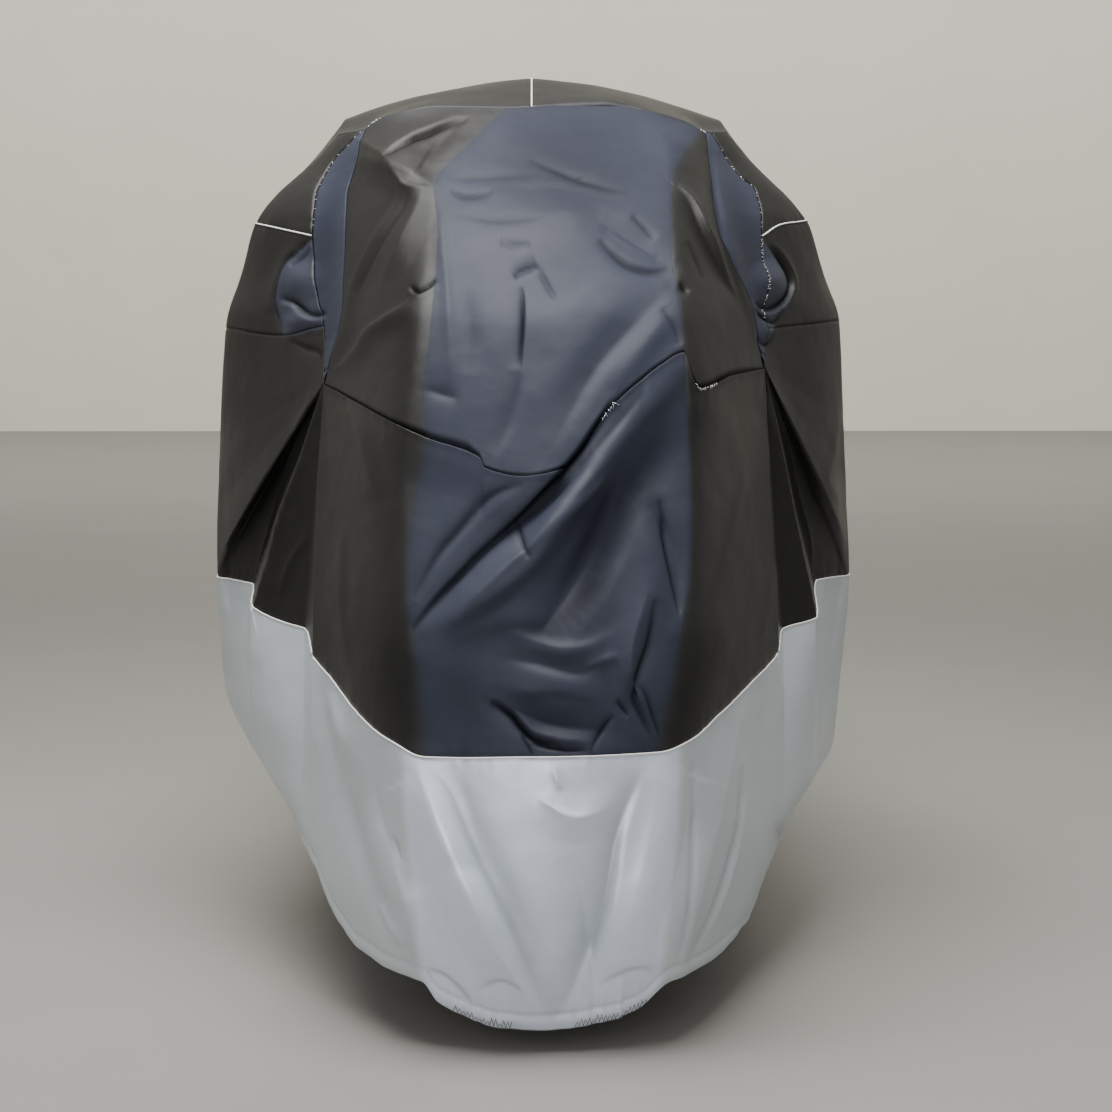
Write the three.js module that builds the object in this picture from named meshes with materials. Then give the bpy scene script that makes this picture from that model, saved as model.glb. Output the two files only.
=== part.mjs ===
import * as THREE from 'three';

// A fitted two-tone cover, hanging in its folds as it does in use.
// Millimetres, +Z up, +X to the viewer's right, front towards -Y.
// Z = 0 is the lowest point of the elastic hem. The part is hollow and open below.

// Cloth and sewing
const CLOTH = 2;
const SEAM_INSET = 0.65;
const LAP_LIFT = 9;
const LAP_REACH = 70;
const LAP_TUCK = 16;
const LAP_END = 40;
const TUCK_START = 60;
const PIPING_RADIUS = 2.2;
const PIPING_CLEAR = 0.7;
const PIPING_SIDES = 6;

// Points nearer than this count as one
const KEY_STEP = 0.05;

// Grid steps of the panels
const HALF_FRONT_COLUMNS = 6;
const CHEEK_COLUMNS = 4;
const GUSSET_COLUMNS = 2;
const SHOULDER_COLUMNS = 3;
const POCKET_COLUMNS = 4;
const SHOULDER_ROWS = 5;
const POCKET_ROWS = 4;
const STEP_ROWS = 3;
const SIDE_ROWS = 10;
const SKIRT_ROWS = 8;

// The front as seen from ahead: at each height, how far forward the nose, the
// panel edge, the cheek and the widest line stand, and how wide they are.
const LEVELS = named(['z', 'lean', 'nose', 'edgeX', 'edgeY', 'cheekX', 'cheekY', 'barL', 'barR', 'barY'], [
  [0, 16, -1120, 150, -1085, 250, -930, 300, 310, -560],
  [170, 16, -1148, 160, -1112, 305, -860, 362, 404, -490],
  [255, 15, -1140, 160, -1104, 325, -820, 438, 468, -435],
  [340, 14, -1128, 160, -1093, 330, -795, 477, 478, -410],
  [510, 20, -1080, 175, -1045, 335, -730, 488, 492, -400],
  [710, 25, -990, 187, -955, 335, -660, 482, 482, -396],
  [905, 30, -885, 175, -855, 330, -590, 467, 471, -400],
  [970, 30, -828, 172, -795, 322, -566, 445, 448, -400],
  [1052, 30, -743, 170, -708, 310, -531, 422, 422, -405],
  [1160, 15, -575, 185, -550, 275, -450, 322, 326, -388],
  [1227, 0, -465, 150, -452, 225, -420, 262, 272, -375],
]);
const BAR_TURN = 1.6;
const RIM_FADE = 26;

// Where the middle line of the front crosses its seams
const MIDDLE = { brow: 0, cross: 10, skirt: 8, hem: 16 };

// Seams and edges of the front, each a line of [x, z] seen from ahead
const BROW = [[-294, 1188], [-256, 1189], [-232, 1205], [-183, 1218], [-150, 1224], [-38, 1222], [0, 1224],
  [45, 1228], [109, 1232], [193, 1213], [236, 1199], [264, 1187], [301, 1192]];
const CROSS_SEAM = [[-300, 816], [-269, 807], [-204, 783], [-137, 757], [-69, 734], [-63, 721], [-11, 710],
  [39, 719], [66, 746], [104, 797], [141, 829], [175, 854], [205, 869], [216, 838], [228, 820], [279, 834],
  [337, 838]];
const SKIRT_SEAM = [[-488, 508], [-420, 512], [-414, 489], [-355, 472], [-320, 468], [-306, 444], [-272, 421],
  [-249, 403], [-200, 376], [-173, 366], [-140, 355], [12, 360], [161, 360], [209, 372], [243, 388],
  [273, 401], [304, 416], [350, 443], [360, 463], [417, 474], [426, 518], [492, 510]];
const HEM = [[-366, 178], [-340, 170], [-304, 150], [-268, 93], [-236, 70], [-144, 57], [-123, 31], [-87, 13],
  [-48, 2], [16, 0], [97, 9], [139, 23], [185, 57], [261, 59], [303, 62], [334, 92], [350, 129], [404, 168]];

// How the pleats grow below their gather, and where they die out
const PLEAT_GROWTH = 0.7;
const PLEAT_END = 150;

// The two sides differ a little, as the cloth hangs
const SIDES = [
  {
    name: 'left',
    sign: -1,
    bar: 'barL',
    edgeUpper: [[-38, 1222], [-95, 1161], [-140, 1101], [-131, 1022], [-138, 899], [-147, 807], [-137, 757]],
    edgeLower: [[-137, 757], [-165, 729], [-165, 554], [-156, 514], [-140, 355]],
    gussetInner: [[-250, 1193], [-257, 1156], [-274, 1083], [-273, 938], [-300, 816]],
    gussetOuter: [[-256, 1189], [-304, 1139], [-324, 1085], [-326, 1031], [-315, 940], [-303, 900], [-300, 816]],
    shoulderTop: 1188,
    mirrorSeam: [[-326, 1031], [-422, 1052]],
    gripSeam: [[-303, 900], [-378, 885], [-466, 893]],
    gather: { x: -300, z: 818, foot: 480 },
    pleatFeet: [-140, -182, -224, -266, -308, -321, -369, -415, -427, -448, -468, -488],
    pleatHems: [-130, -175, -218, -262, -304, -308, -318, -330, -338, -346, -356, -366],
    pleats: [[-900, 0], [-620, 10], [-524, 24], [-506, -26], [-430, -34], [-415, 26], [-378, 0], [-323, -34],
      [-308, 22], [-262, 2], [-200, 0]],
  },
  {
    name: 'right',
    sign: 1,
    bar: 'barR',
    edgeUpper: [[254, 1191], [201, 1107], [196, 998], [204, 920], [205, 869]],
    edgeLower: [[205, 869], [212, 700], [210, 597], [196, 523], [182, 449], [161, 360]],
    gussetInner: [[263, 1187], [272, 1084], [296, 988], [322, 928], [330, 878], [337, 838]],
    gussetOuter: [[272, 1188], [315, 1119], [335, 1104], [343, 1064], [342, 1031], [343, 896], [337, 838]],
    shoulderTop: 1192,
    mirrorSeam: [[342, 1031], [373, 1048], [422, 1056]],
    gripSeam: [[343, 896], [375, 898], [471, 904]],
    gather: { x: 337, z: 842, foot: 480 },
    pleatFeet: [161, 209, 256, 303, 350, 360, 390, 417, 427, 448, 470, 492],
    pleatHems: [140, 190, 240, 290, 342, 348, 354, 362, 372, 382, 393, 404],
    pleats: [[200, 0], [290, 2], [350, 22], [361, -28], [385, 0], [416, 28], [428, -34], [500, -26], [528, 22],
      [640, 10], [900, 0]],
  },
];

// Broad folds of the front, as ridges (+) and troughs (-): from one point to the
// next in [x, z], with the height of the fold and its half-width either side.
const FOLD_ENDS = 0.35;
const FOLDS = [
  { path: [[-262, 1150], [-214, 1135], [-142, 1104]], height: 14, width: 40 },
  { path: [[225, 1090], [258, 1058], [285, 995], [312, 920]], height: 12, width: 32 },
  { path: [[-150, 1100], [-185, 1030], [-215, 950]], height: 12, width: 36 },
  { path: [[95, 1040], [140, 1012], [195, 985]], height: -14, width: 40 },
  { path: [[-50, 1100], [40, 1088], [130, 1070]], height: -8, width: 36 },
  { path: [[60, 715], [-5, 660], [-70, 610], [-125, 545], [-150, 515]], height: -16, width: 34 },
  { path: [[90, 700], [25, 645], [-40, 590], [-95, 530]], height: 12, width: 34 },
  { path: [[110, 690], [70, 600], [15, 520]], height: -18, width: 46 },
  { path: [[165, 665], [190, 600], [192, 535]], height: -12, width: 30 },
  { path: [[150, 560], [128, 480], [150, 400]], height: 13, width: 38 },
  { path: [[-40, 425], [20, 400], [90, 390]], height: -12, width: 30 },
  { path: [[-258, 800], [-236, 720], [-215, 650]], height: 14, width: 34 },
  { path: [[-148, 340], [-90, 210], [-6, 45]], height: 18, width: 46 },
  { path: [[-188, 240], [-172, 190], [-150, 85]], height: 14, width: 34 },
  { path: [[-215, 340], [-195, 260], [-170, 200]], height: -12, width: 36 },
  { path: [[286, 372], [242, 230], [212, 140], [190, 60]], height: 17, width: 42 },
  { path: [[205, 330], [190, 240], [160, 130]], height: -13, width: 44 },
  { path: [[30, 290], [58, 272], [92, 300]], height: 12, width: 34 },
  { path: [[60, 200], [75, 110], [80, 40]], height: -12, width: 44 },
];

// The length behind the widest line: one row for each cross-section, with the
// half-widths and heights of the hem, the skirt seam, the lower and the upper
// pocket seam, the shoulder and the ridge.
const STATIONS = named(['y', 'hemX', 'hemZ', 'seamX', 'seamZ', 'gripX', 'gripZ', 'mirrorX', 'mirrorZ',
  'shoulderX', 'shoulderZ', 'ridgeY', 'ridgeZ'], [
  [-400, 385, 172, 490, 509, 469, 899, 422, 1054, 298, 1190, -465, 1224],
  [-300, 392, 158, 494, 510, 480, 886, 436, 1006, 290, 1217, -250, 1280],
  [-100, 378, 128, 478, 506, 452, 838, 449, 842, 252, 1112, -60, 1196],
  [200, 344, 98, 428, 494, 384, 752, 383, 755, 205, 944, 210, 1010],
  [520, 312, 86, 378, 484, 328, 690, 327, 693, 186, 818, 530, 872],
  [840, 282, 78, 338, 476, 286, 664, 285, 667, 168, 808, 830, 864],
  [1030, 224, 72, 258, 470, 220, 646, 219, 649, 132, 772, 985, 832],
  [1116, 138, 70, 158, 469, 134, 642, 133, 645, 82, 748, 1062, 790],
  [1153, 0, 70, 0, 468, 0, 640, 0, 643, 0, 735, 1090, 760],
]);
const REAR_STEPS = [0, 0.5, 1, 1.5, 2, 2.5, 3, 3.5, 4, 4.5, 5, 5.5, 6, 6.4, 6.75, 7, 7.5, 8];
const RAILS = ['hem', 'seam', 'grip', 'mirror', 'shoulder'];
const [SEAM_RAIL, GRIP_RAIL, MIRROR_RAIL, SHOULDER_RAIL] = [1, 2, 3, 4];
const POCKET_END = 2;
const EVEN_OUT = 1.5;
const CROWN_POWER = 1.7;
const CROWN_RAILS = 2;

// Folds of the sides and back, and how they fade at hem, top and both ends
const REAR_SHIFT = 25;
const REAR_FADE = { hem: 0.4, hemRails: 0.6, topStart: 2.2, topRails: 1.6, end: 1.2, lastStart: 5.6 };
const REAR_FOLDS = [
  { y: -210, z: 700, slope: 0.35, height: -16, width: 60 },
  { y: -60, z: 640, slope: 0.55, height: 15, width: 70 },
  { y: 120, z: 620, slope: 0.8, height: -15, width: 65 },
  { y: 330, z: 560, slope: 0.9, height: 13, width: 75 },
  { y: 560, z: 520, slope: 0.6, height: -13, width: 70 },
  { y: 760, z: 520, slope: 0.2, height: 12, width: 70 },
  { y: 930, z: 480, slope: -0.2, height: -11, width: 60 },
];

const SURFACES = {
  navy: { color: 0x343a48, roughness: 0.5 },
  black: { color: 0x2a2926, roughness: 0.55 },
  silver: { color: 0xb2bab8, roughness: 0.45 },
  white: { color: 0xe2e4e2, roughness: 0.6 },
};

// Rows of plain values turned into rows with named columns
function named(columns, rows) {
  return rows.map((row) => Object.fromEntries(columns.map((name, i) => [name, row[i]])));
}

// Smooth interpolation through rising x values, without overshoot
function pchip(xs, ys, x) {
  const last = xs.length - 1;
  const at = Math.min(Math.max(x, xs[0]), xs[last]);
  let i = 0;
  while (i < last - 1 && at > xs[i + 1]) i += 1;
  const slope = (k) => (ys[k + 1] - ys[k]) / (xs[k + 1] - xs[k]);
  const tangent = (k) => {
    if (k === 0) return slope(0);
    if (k === last) return slope(last - 1);
    const before = slope(k - 1);
    const after = slope(k);
    return before * after > 0 ? 2 * before * after / (before + after) : 0;
  };
  const step = xs[i + 1] - xs[i];
  return hermite(ys[i], ys[i + 1], tangent(i) * step, tangent(i + 1) * step, (at - xs[i]) / step);
}

function hermite(a, b, slopeA, slopeB, t) {
  const t2 = t * t;
  const t3 = t2 * t;
  return a * (2 * t3 - 3 * t2 + 1) + slopeA * (t3 - 2 * t2 + t) + b * (3 * t2 - 2 * t3) + slopeB * (t3 - t2);
}

function smooth(t) {
  const c = Math.min(Math.max(t, 0), 1);
  return c * c * (3 - 2 * c);
}

function mix(a, b, t) {
  return a + (b - a) * t;
}

function level(name, z) {
  return pchip(LEVELS.map((row) => row.z), LEVELS.map((row) => row[name]), z);
}

// How far forward the plain front stands at x, z
function frontY(x, z) {
  const barX = level(x < 0 ? 'barL' : 'barR', z);
  const share = Math.min(Math.abs(x) / barX, 1);
  const off = Math.abs(x - level('lean', z) * (1 - share * share));
  const nose = level('nose', z);
  const edgeX = level('edgeX', z);
  const edgeY = level('edgeY', z);
  const cheekX = level('cheekX', z);
  const cheekY = level('cheekY', z);
  const barY = level('barY', z);
  const toEdge = (edgeY - nose) / edgeX;
  const toCheek = (cheekY - edgeY) / (cheekX - edgeX);
  const toBar = (barY - cheekY) / (barX - cheekX);
  const atEdge = 2 * toEdge * toCheek / (toEdge + toCheek);
  const atCheek = 2 * toCheek * toBar / (toCheek + toBar);
  if (off < edgeX) return hermite(nose, edgeY, 0, atEdge * edgeX, off / edgeX);
  if (off < cheekX) {
    const run = cheekX - edgeX;
    return hermite(edgeY, cheekY, atEdge * run, atCheek * run, (off - edgeX) / run);
  }
  const run = barX - cheekX;
  return hermite(cheekY, barY, atCheek * run, toBar * BAR_TURN * run, Math.min((off - cheekX) / run, 1));
}

// Height of the pleats that fan out below one gather, at x, z
function pleatHeight(side, x, z) {
  const { gather, pleats } = side;
  if (z >= gather.z) return 0;
  const drop = gather.z - z;
  const full = gather.z - gather.foot;
  const below = Math.max(gather.foot - z, 0);
  const foot = z > gather.foot ? gather.x + (x - gather.x) * full / drop : x;
  const height = pchip(pleats.map((p) => p[0]), pleats.map((p) => p[1]), foot);
  const grow = Math.min(drop / full, 1) ** PLEAT_GROWTH;
  return height * grow * (1 - smooth(below / (gather.foot - PLEAT_END)));
}

function foldHeight(fold, x, z) {
  let nearest = Infinity;
  let along = 0;
  const { path } = fold;
  for (let i = 0; i < path.length - 1; i += 1) {
    const [ax, az] = path[i];
    const [bx, bz] = path[i + 1];
    const length2 = (bx - ax) ** 2 + (bz - az) ** 2;
    const t = Math.min(Math.max(((x - ax) * (bx - ax) + (z - az) * (bz - az)) / length2, 0), 1);
    const gap = Math.hypot(x - mix(ax, bx, t), z - mix(az, bz, t));
    if (gap < nearest) {
      nearest = gap;
      along = (i + t) / (path.length - 1);
    }
  }
  const fade = mix(FOLD_ENDS, 1, Math.sin(Math.PI * along));
  return fold.height * fade * (1 - smooth(nearest / fold.width));
}

// A point of the front, with its pleats and folds pushed out towards the viewer
function front(x, z) {
  let height = 0;
  for (const side of SIDES) {
    if (x * side.sign > 0) height += pleatHeight(side, x, z);
  }
  for (const fold of FOLDS) height += foldHeight(fold, x, z);
  const barX = level(x < 0 ? 'barL' : 'barR', z);
  const rim = 1 - smooth((Math.abs(x) - (barX - RIM_FADE)) / RIM_FADE);
  return new THREE.Vector3(x, frontY(x, z) - height * rim, z);
}

// A point on a line of [x, z] at a share of its height, or of its width
function onLine(line, share, axis) {
  const rising = line[line.length - 1][axis] > line[0][axis];
  const points = rising ? line : [...line].reverse();
  const keys = points.map((p) => p[axis]);
  const value = mix(line[0][axis], line[line.length - 1][axis], share);
  let i = 0;
  while (i < keys.length - 2 && value > keys[i + 1]) i += 1;
  const t = (value - keys[i]) / (keys[i + 1] - keys[i]);
  return [mix(points[i][0], points[i + 1][0], t), mix(points[i][1], points[i + 1][1], t)];
}

function heightOn(line, x) {
  const share = (x - line[0][0]) / (line[line.length - 1][0] - line[0][0]);
  return onLine(line, Math.min(Math.max(share, 0), 1), 0)[1];
}

function shares(count) {
  return Array.from({ length: count + 1 }, (_, i) => i / count);
}

// Distance from the nearer end of the cross seam, where its lap dies out
function fromSeamEnd(x) {
  const start = CROSS_SEAM[0][0];
  const end = CROSS_SEAM[CROSS_SEAM.length - 1][0];
  return Math.min(x - start, end - x);
}

// Along the cross seam the lower cloth stands proud, and the upper tucks in behind
function lapped(x, z) {
  const point = front(x, z);
  const below = heightOn(CROSS_SEAM, x) - z;
  point.y -= LAP_LIFT * smooth(fromSeamEnd(x) / LAP_END) * (1 - smooth(below / LAP_REACH));
  return point;
}

function tucked(x, z) {
  const drop = LAP_TUCK * smooth((fromSeamEnd(x) - TUCK_START) / LAP_END);
  const above = z - heightOn(CROSS_SEAM, x);
  return front(x, z - drop * (1 - smooth(above / LAP_REACH)));
}

// Rows of the upper front: the same shares on every upright line, so that both
// pocket seams land on a row.
function upperShares(side) {
  const line = side.gussetOuter;
  const top = line[0][1];
  const bottom = line[line.length - 1][1];
  const mirror = (top - side.mirrorSeam[0][1]) / (top - bottom);
  const grip = (top - side.gripSeam[0][1]) / (top - bottom);
  return [
    ...shares(SHOULDER_ROWS).map((t) => mirror * t),
    ...shares(POCKET_ROWS).slice(1).map((t) => mix(mirror, grip, t)),
    ...shares(STEP_ROWS).slice(1).map((t) => mix(grip, 1, t)),
  ];
}

// A patch between two upright lines of the front
function between(inner, outer, rows, columns, place) {
  return rows.map((row) => {
    const a = onLine(inner, row, 1);
    const b = onLine(outer, row, 1);
    return shares(columns).map((t) => place(mix(a[0], b[0], t), mix(a[1], b[1], t), t, row));
  });
}

// The front panel and cheeks end on curved seams: their rows follow both seams
function bounded(topLine, bottomLine, inner, outer, rows, columns, place) {
  return rows.map((row) => {
    const a = onLine(inner, row, 1);
    const b = onLine(outer, row, 1);
    return shares(columns).map((t) => {
      const top = mix(inner[0][0], outer[0][0], t);
      const bottom = mix(inner[inner.length - 1][0], outer[outer.length - 1][0], t);
      const topBow = heightOn(topLine, top) - mix(inner[0][1], outer[0][1], t);
      const ends = mix(inner[inner.length - 1][1], outer[outer.length - 1][1], t);
      const bottomBow = heightOn(bottomLine, bottom) - ends;
      return place(mix(a[0], b[0], t), mix(a[1], b[1], t) + mix(topBow, bottomBow, row));
    });
  });
}

function station(name, s) {
  return pchip(STATIONS.map((_, i) => i), STATIONS.map((row) => row[name]), s);
}

// Height on the widest line where the rail number q lies, on one side
function barHeight(side, q) {
  const heights = [side.hemEnd, side.seamEnd, side.gripEnd, side.mirrorEnd, side.shoulderEnd[1]];
  const i = Math.min(Math.floor(q), SHOULDER_RAIL - 1);
  return mix(heights[i], heights[i + 1], q - i);
}

// How far a point has come from its own station to that of the ridge
function crownShare(q) {
  return smooth((q - MIRROR_RAIL) / CROWN_RAILS);
}

// The plain section behind the widest line: q runs from the hem (0) over the
// rails to the shoulder (4) and on to the ridge (5), s along the stations.
function section(side, s, q) {
  const y = station('y', s);
  if (q <= SHOULDER_RAIL) {
    const heights = RAILS.map((rail) => station(`${rail}Z`, s));
    const i = Math.min(Math.floor(q), SHOULDER_RAIL - 1);
    const z = mix(heights[i], heights[i + 1], q - i);
    const x = pchip(heights, RAILS.map((rail) => station(`${rail}X`, s)), z);
    const lean = (station('ridgeY', s) - y) * crownShare(q);
    return new THREE.Vector3(side.sign * x, y + lean, z);
  }
  const t = 1 - (q - SHOULDER_RAIL);
  const z = station('ridgeZ', s) - (station('ridgeZ', s) - station('shoulderZ', s)) * t ** CROWN_POWER;
  const x = side.sign * station('shoulderX', s) * t;
  return new THREE.Vector3(x, mix(y, station('ridgeY', s), crownShare(q)), z);
}

// The front edge of everything behind: the widest line, then the brow
function frontEdge(side, q) {
  if (q <= SHOULDER_RAIL) {
    const z = barHeight(side, q);
    const x = side.sign * level(side.bar, z);
    return new THREE.Vector3(x, level('barY', z), z);
  }
  const x = side.shoulderEnd[0] * (1 - (q - SHOULDER_RAIL));
  return front(x, heightOn(BROW, x));
}

function rearFoldHeight(side, point, s, q) {
  let height = 0;
  for (const fold of REAR_FOLDS) {
    const centre = fold.y + (fold.z - point.z) * fold.slope + side.sign * REAR_SHIFT;
    height += fold.height * (1 - smooth(Math.abs(point.y - centre) / fold.width));
  }
  const low = mix(REAR_FADE.hem, 1, smooth(q / REAR_FADE.hemRails));
  const high = 1 - smooth((q - REAR_FADE.topStart) / REAR_FADE.topRails);
  const ends = smooth(s / REAR_FADE.end) * (1 - smooth((s - REAR_FADE.lastStart) / REAR_FADE.end));
  return height * low * high * ends;
}

// A point of the sides and back. At the tail the whole crown ends in one point.
function rear(side, s, rail) {
  const tail = s >= STATIONS.length - 1;
  const q = tail && rail >= SHOULDER_RAIL ? SHOULDER_RAIL + 1 : rail;
  const point = section(side, s, q);
  const edge = frontEdge(side, q);
  const start = section(side, 0, q);
  point.add(edge.sub(start).multiplyScalar(1 - smooth(s)));
  point.x += side.sign * rearFoldHeight(side, point, s, q);
  if (tail) point.x = 0;
  return point;
}

function prepare(side) {
  const outerEnd = (line) => (side.sign < 0 ? line[0] : line[line.length - 1])[1];
  side.hemEnd = outerEnd(HEM);
  side.seamEnd = outerEnd(SKIRT_SEAM);
  side.gripEnd = side.gripSeam[side.gripSeam.length - 1][1];
  side.mirrorEnd = side.mirrorSeam[side.mirrorSeam.length - 1][1];
  side.shoulderEnd = [side.sign * level(side.bar, side.shoulderTop), side.shoulderTop];
  side.rows = upperShares(side);
}

// The widest line itself, so that front and rear columns share their points
function onBar(side, z) {
  return new THREE.Vector3(side.sign * level(side.bar, z), level('barY', z), z);
}

// Panels of the front only

function frontUpper(left, right) {
  const { brow, cross } = MIDDLE;
  const middle = [[brow, heightOn(BROW, brow)], [cross, heightOn(CROSS_SEAM, cross)]];
  const a = bounded(BROW, CROSS_SEAM, left.edgeUpper, middle, left.rows, HALF_FRONT_COLUMNS, tucked);
  const b = bounded(BROW, CROSS_SEAM, middle, right.edgeUpper, right.rows, HALF_FRONT_COLUMNS, tucked);
  return a.map((row, j) => [...row, ...b[j].slice(1)]);
}

function frontLower(left, right) {
  const { cross, skirt } = MIDDLE;
  const middle = [[cross, heightOn(CROSS_SEAM, cross)], [skirt, heightOn(SKIRT_SEAM, skirt)]];
  const rows = shares(SIDE_ROWS);
  const a = bounded(CROSS_SEAM, SKIRT_SEAM, left.edgeLower, middle, rows, HALF_FRONT_COLUMNS, lapped);
  const b = bounded(CROSS_SEAM, SKIRT_SEAM, middle, right.edgeLower, rows, HALF_FRONT_COLUMNS, lapped);
  return a.map((row, j) => [...row, ...b[j].slice(1)]);
}

function cheek(side) {
  return bounded(BROW, CROSS_SEAM, side.edgeUpper, side.gussetInner, side.rows, CHEEK_COLUMNS, tucked);
}

function gusset(side) {
  return between(side.gussetInner, side.gussetOuter, side.rows, GUSSET_COLUMNS, tucked);
}

// How far a seam bows off the straight line between its ends
function bow(line, share) {
  const [x0, z0] = line[0];
  const [x1, z1] = line[line.length - 1];
  return heightOn(line, mix(x0, x1, share)) - mix(z0, z1, share);
}

// Between the ragged seam and the widest line
function outward(side, from, top, bottom, count, columns) {
  return shares(count).map((t, j) => {
    const [ax, az] = onLine(side.gussetOuter, side.rows[from + j], 1);
    const edgeZ = mix(top[top.length - 1][1], bottom[bottom.length - 1][1], t);
    return shares(columns).map((u) => {
      if (u === 1) return onBar(side, edgeZ);
      const edgeX = side.sign * level(side.bar, edgeZ);
      const x = mix(ax, edgeX, u);
      return tucked(x, mix(az, edgeZ, u) + mix(bow(top, u), bow(bottom, u), t));
    });
  });
}

function shoulder(side) {
  const top = [side.gussetOuter[0], side.shoulderEnd];
  return outward(side, 0, top, side.mirrorSeam, SHOULDER_ROWS, SHOULDER_COLUMNS);
}

// Panels that turn the corner at the widest line. A pocket runs out to a point.

function pocket(side) {
  const rows = outward(side, SHOULDER_ROWS, side.mirrorSeam, side.gripSeam, POCKET_ROWS, POCKET_COLUMNS);
  const steps = REAR_STEPS.filter((s) => s > 0 && s <= POCKET_END);
  const rail = (s, j) => (s < POCKET_END ? MIRROR_RAIL - j / POCKET_ROWS : GRIP_RAIL);
  return rows.map((row, j) => [...row, ...steps.map((s) => rear(side, s, rail(s, j)))]);
}

function sidePanel(side) {
  const tops = sideTops(side);
  return shares(SIDE_ROWS).map((t) => {
    const columns = tops.map(([topX, topZ], i) => {
      const footX = side.pleatFeet[i];
      const footZ = heightOn(SKIRT_SEAM, footX);
      if (i === tops.length - 1) return onBar(side, mix(side.gripEnd, side.seamEnd, t));
      return i === 0 ? edgePoint(side, t) : lapped(mix(topX, footX, t), mix(topZ, footZ, t));
    });
    const steps = REAR_STEPS.slice(1).map((s) => rear(side, s, GRIP_RAIL - t));
    return [...columns, ...steps];
  });
}

function edgePoint(side, t) {
  const [x, z] = onLine(side.edgeLower, t, 1);
  return lapped(x, z);
}

// Where the columns of a side panel start: cross seam, ragged seam, pocket seam
function sideTops(side) {
  const [startX] = side.edgeLower[0];
  const endX = side.gussetInner[side.gussetInner.length - 1][0];
  const cross = shares(CHEEK_COLUMNS).map((t) => {
    const x = mix(startX, endX, t);
    return [x, heightOn(CROSS_SEAM, x)];
  });
  const first = SHOULDER_ROWS + POCKET_ROWS;
  const step = shares(STEP_ROWS).slice(1).map((t, j) => {
    return onLine(side.gussetOuter, side.rows[first + STEP_ROWS - 1 - j], 1);
  });
  const grip = shares(POCKET_COLUMNS).slice(1).map((t) => {
    const x = mix(side.gripSeam[0][0], side.gripSeam[side.gripSeam.length - 1][0], t);
    return [x, heightOn(side.gripSeam, x)];
  });
  return [...cross, ...step, ...grip];
}

function skirtColumn(side, i, t) {
  const topX = side.pleatFeet[i];
  const hemX = side.pleatHems[i];
  const z = mix(heightOn(SKIRT_SEAM, topX), heightOn(HEM, hemX), t);
  if (i === side.pleatFeet.length - 1) return onBar(side, mix(side.seamEnd, side.hemEnd, t));
  return front(mix(topX, hemX, t), z);
}

function skirtFront(left, right) {
  const { skirt, hem } = MIDDLE;
  return shares(SKIRT_ROWS).map((t) => {
    const half = (side) => shares(HALF_FRONT_COLUMNS).slice(1).map((u) => {
      const topX = mix(skirt, side.pleatFeet[0], u);
      const hemX = mix(hem, side.pleatHems[0], u);
      return front(mix(topX, hemX, t), mix(heightOn(SKIRT_SEAM, topX), heightOn(HEM, hemX), t));
    });
    const outer = (side) => shares(CHEEK_COLUMNS).slice(1).map((_, i) => skirtColumn(side, i + 1, t));
    const middle = front(mix(skirt, hem, t), mix(heightOn(SKIRT_SEAM, skirt), heightOn(HEM, hem), t));
    return [...outer(left).reverse(), ...half(left).reverse(), middle, ...half(right), ...outer(right)];
  });
}

function skirtSide(side) {
  return shares(SKIRT_ROWS).map((t) => {
    const columns = side.pleatFeet.slice(CHEEK_COLUMNS).map((_, i) => skirtColumn(side, i + CHEEK_COLUMNS, t));
    const steps = REAR_STEPS.slice(1).map((s) => rear(side, s, SEAM_RAIL - t));
    return [...columns, ...steps];
  });
}

// Roof, shoulder and upper back. The rows over the roof start on the columns of
// the front panels and even out towards the back.
function backPanel(side) {
  const brow = browPositions(side);
  const crown = brow.map((x, j) => ({ front: SHOULDER_RAIL + 1 - Math.abs(x / side.shoulderEnd[0]), j }));
  const count = brow.length - 1;
  const upper = crown.map(({ front: start, j }) => REAR_STEPS.map((s) => {
    const even = SHOULDER_RAIL + 1 - j / count;
    return rear(side, s, mix(start, even, smooth(s / EVEN_OUT)));
  }));
  const lower = shares(SHOULDER_ROWS).slice(1).map((t) => REAR_STEPS.map((s) => {
    const foot = t === 1 && s >= POCKET_END;
    return rear(side, s, foot ? GRIP_RAIL : mix(SHOULDER_RAIL, MIRROR_RAIL, t));
  }));
  return [...upper, ...lower];
}

// The long panels are cut in two where the pocket runs out to a point
function cutInTwo(rows) {
  const behind = REAR_STEPS.filter((s) => s > POCKET_END).length;
  const at = rows[0].length - 1 - behind;
  return [rows.map((row) => row.slice(0, at + 1)), rows.map((row) => row.slice(at))];
}

function browPositions(side) {
  const stops = [
    [0, side.edgeUpper[0][0], HALF_FRONT_COLUMNS],
    [side.edgeUpper[0][0], side.gussetInner[0][0], CHEEK_COLUMNS],
    [side.gussetInner[0][0], side.gussetOuter[0][0], GUSSET_COLUMNS],
    [side.gussetOuter[0][0], side.shoulderEnd[0], SHOULDER_COLUMNS],
  ];
  const positions = [0];
  for (const [from, to, count] of stops) {
    for (const t of shares(count).slice(1)) positions.push(mix(from, to, t));
  }
  return positions;
}

// Shells. Faces of all panels meet in one table of normals, so that two panels
// turn the same way along the seam they share.

function keyOf(point) {
  return [point.x, point.y, point.z].map((v) => Math.round(v / KEY_STEP)).join(',');
}

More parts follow.
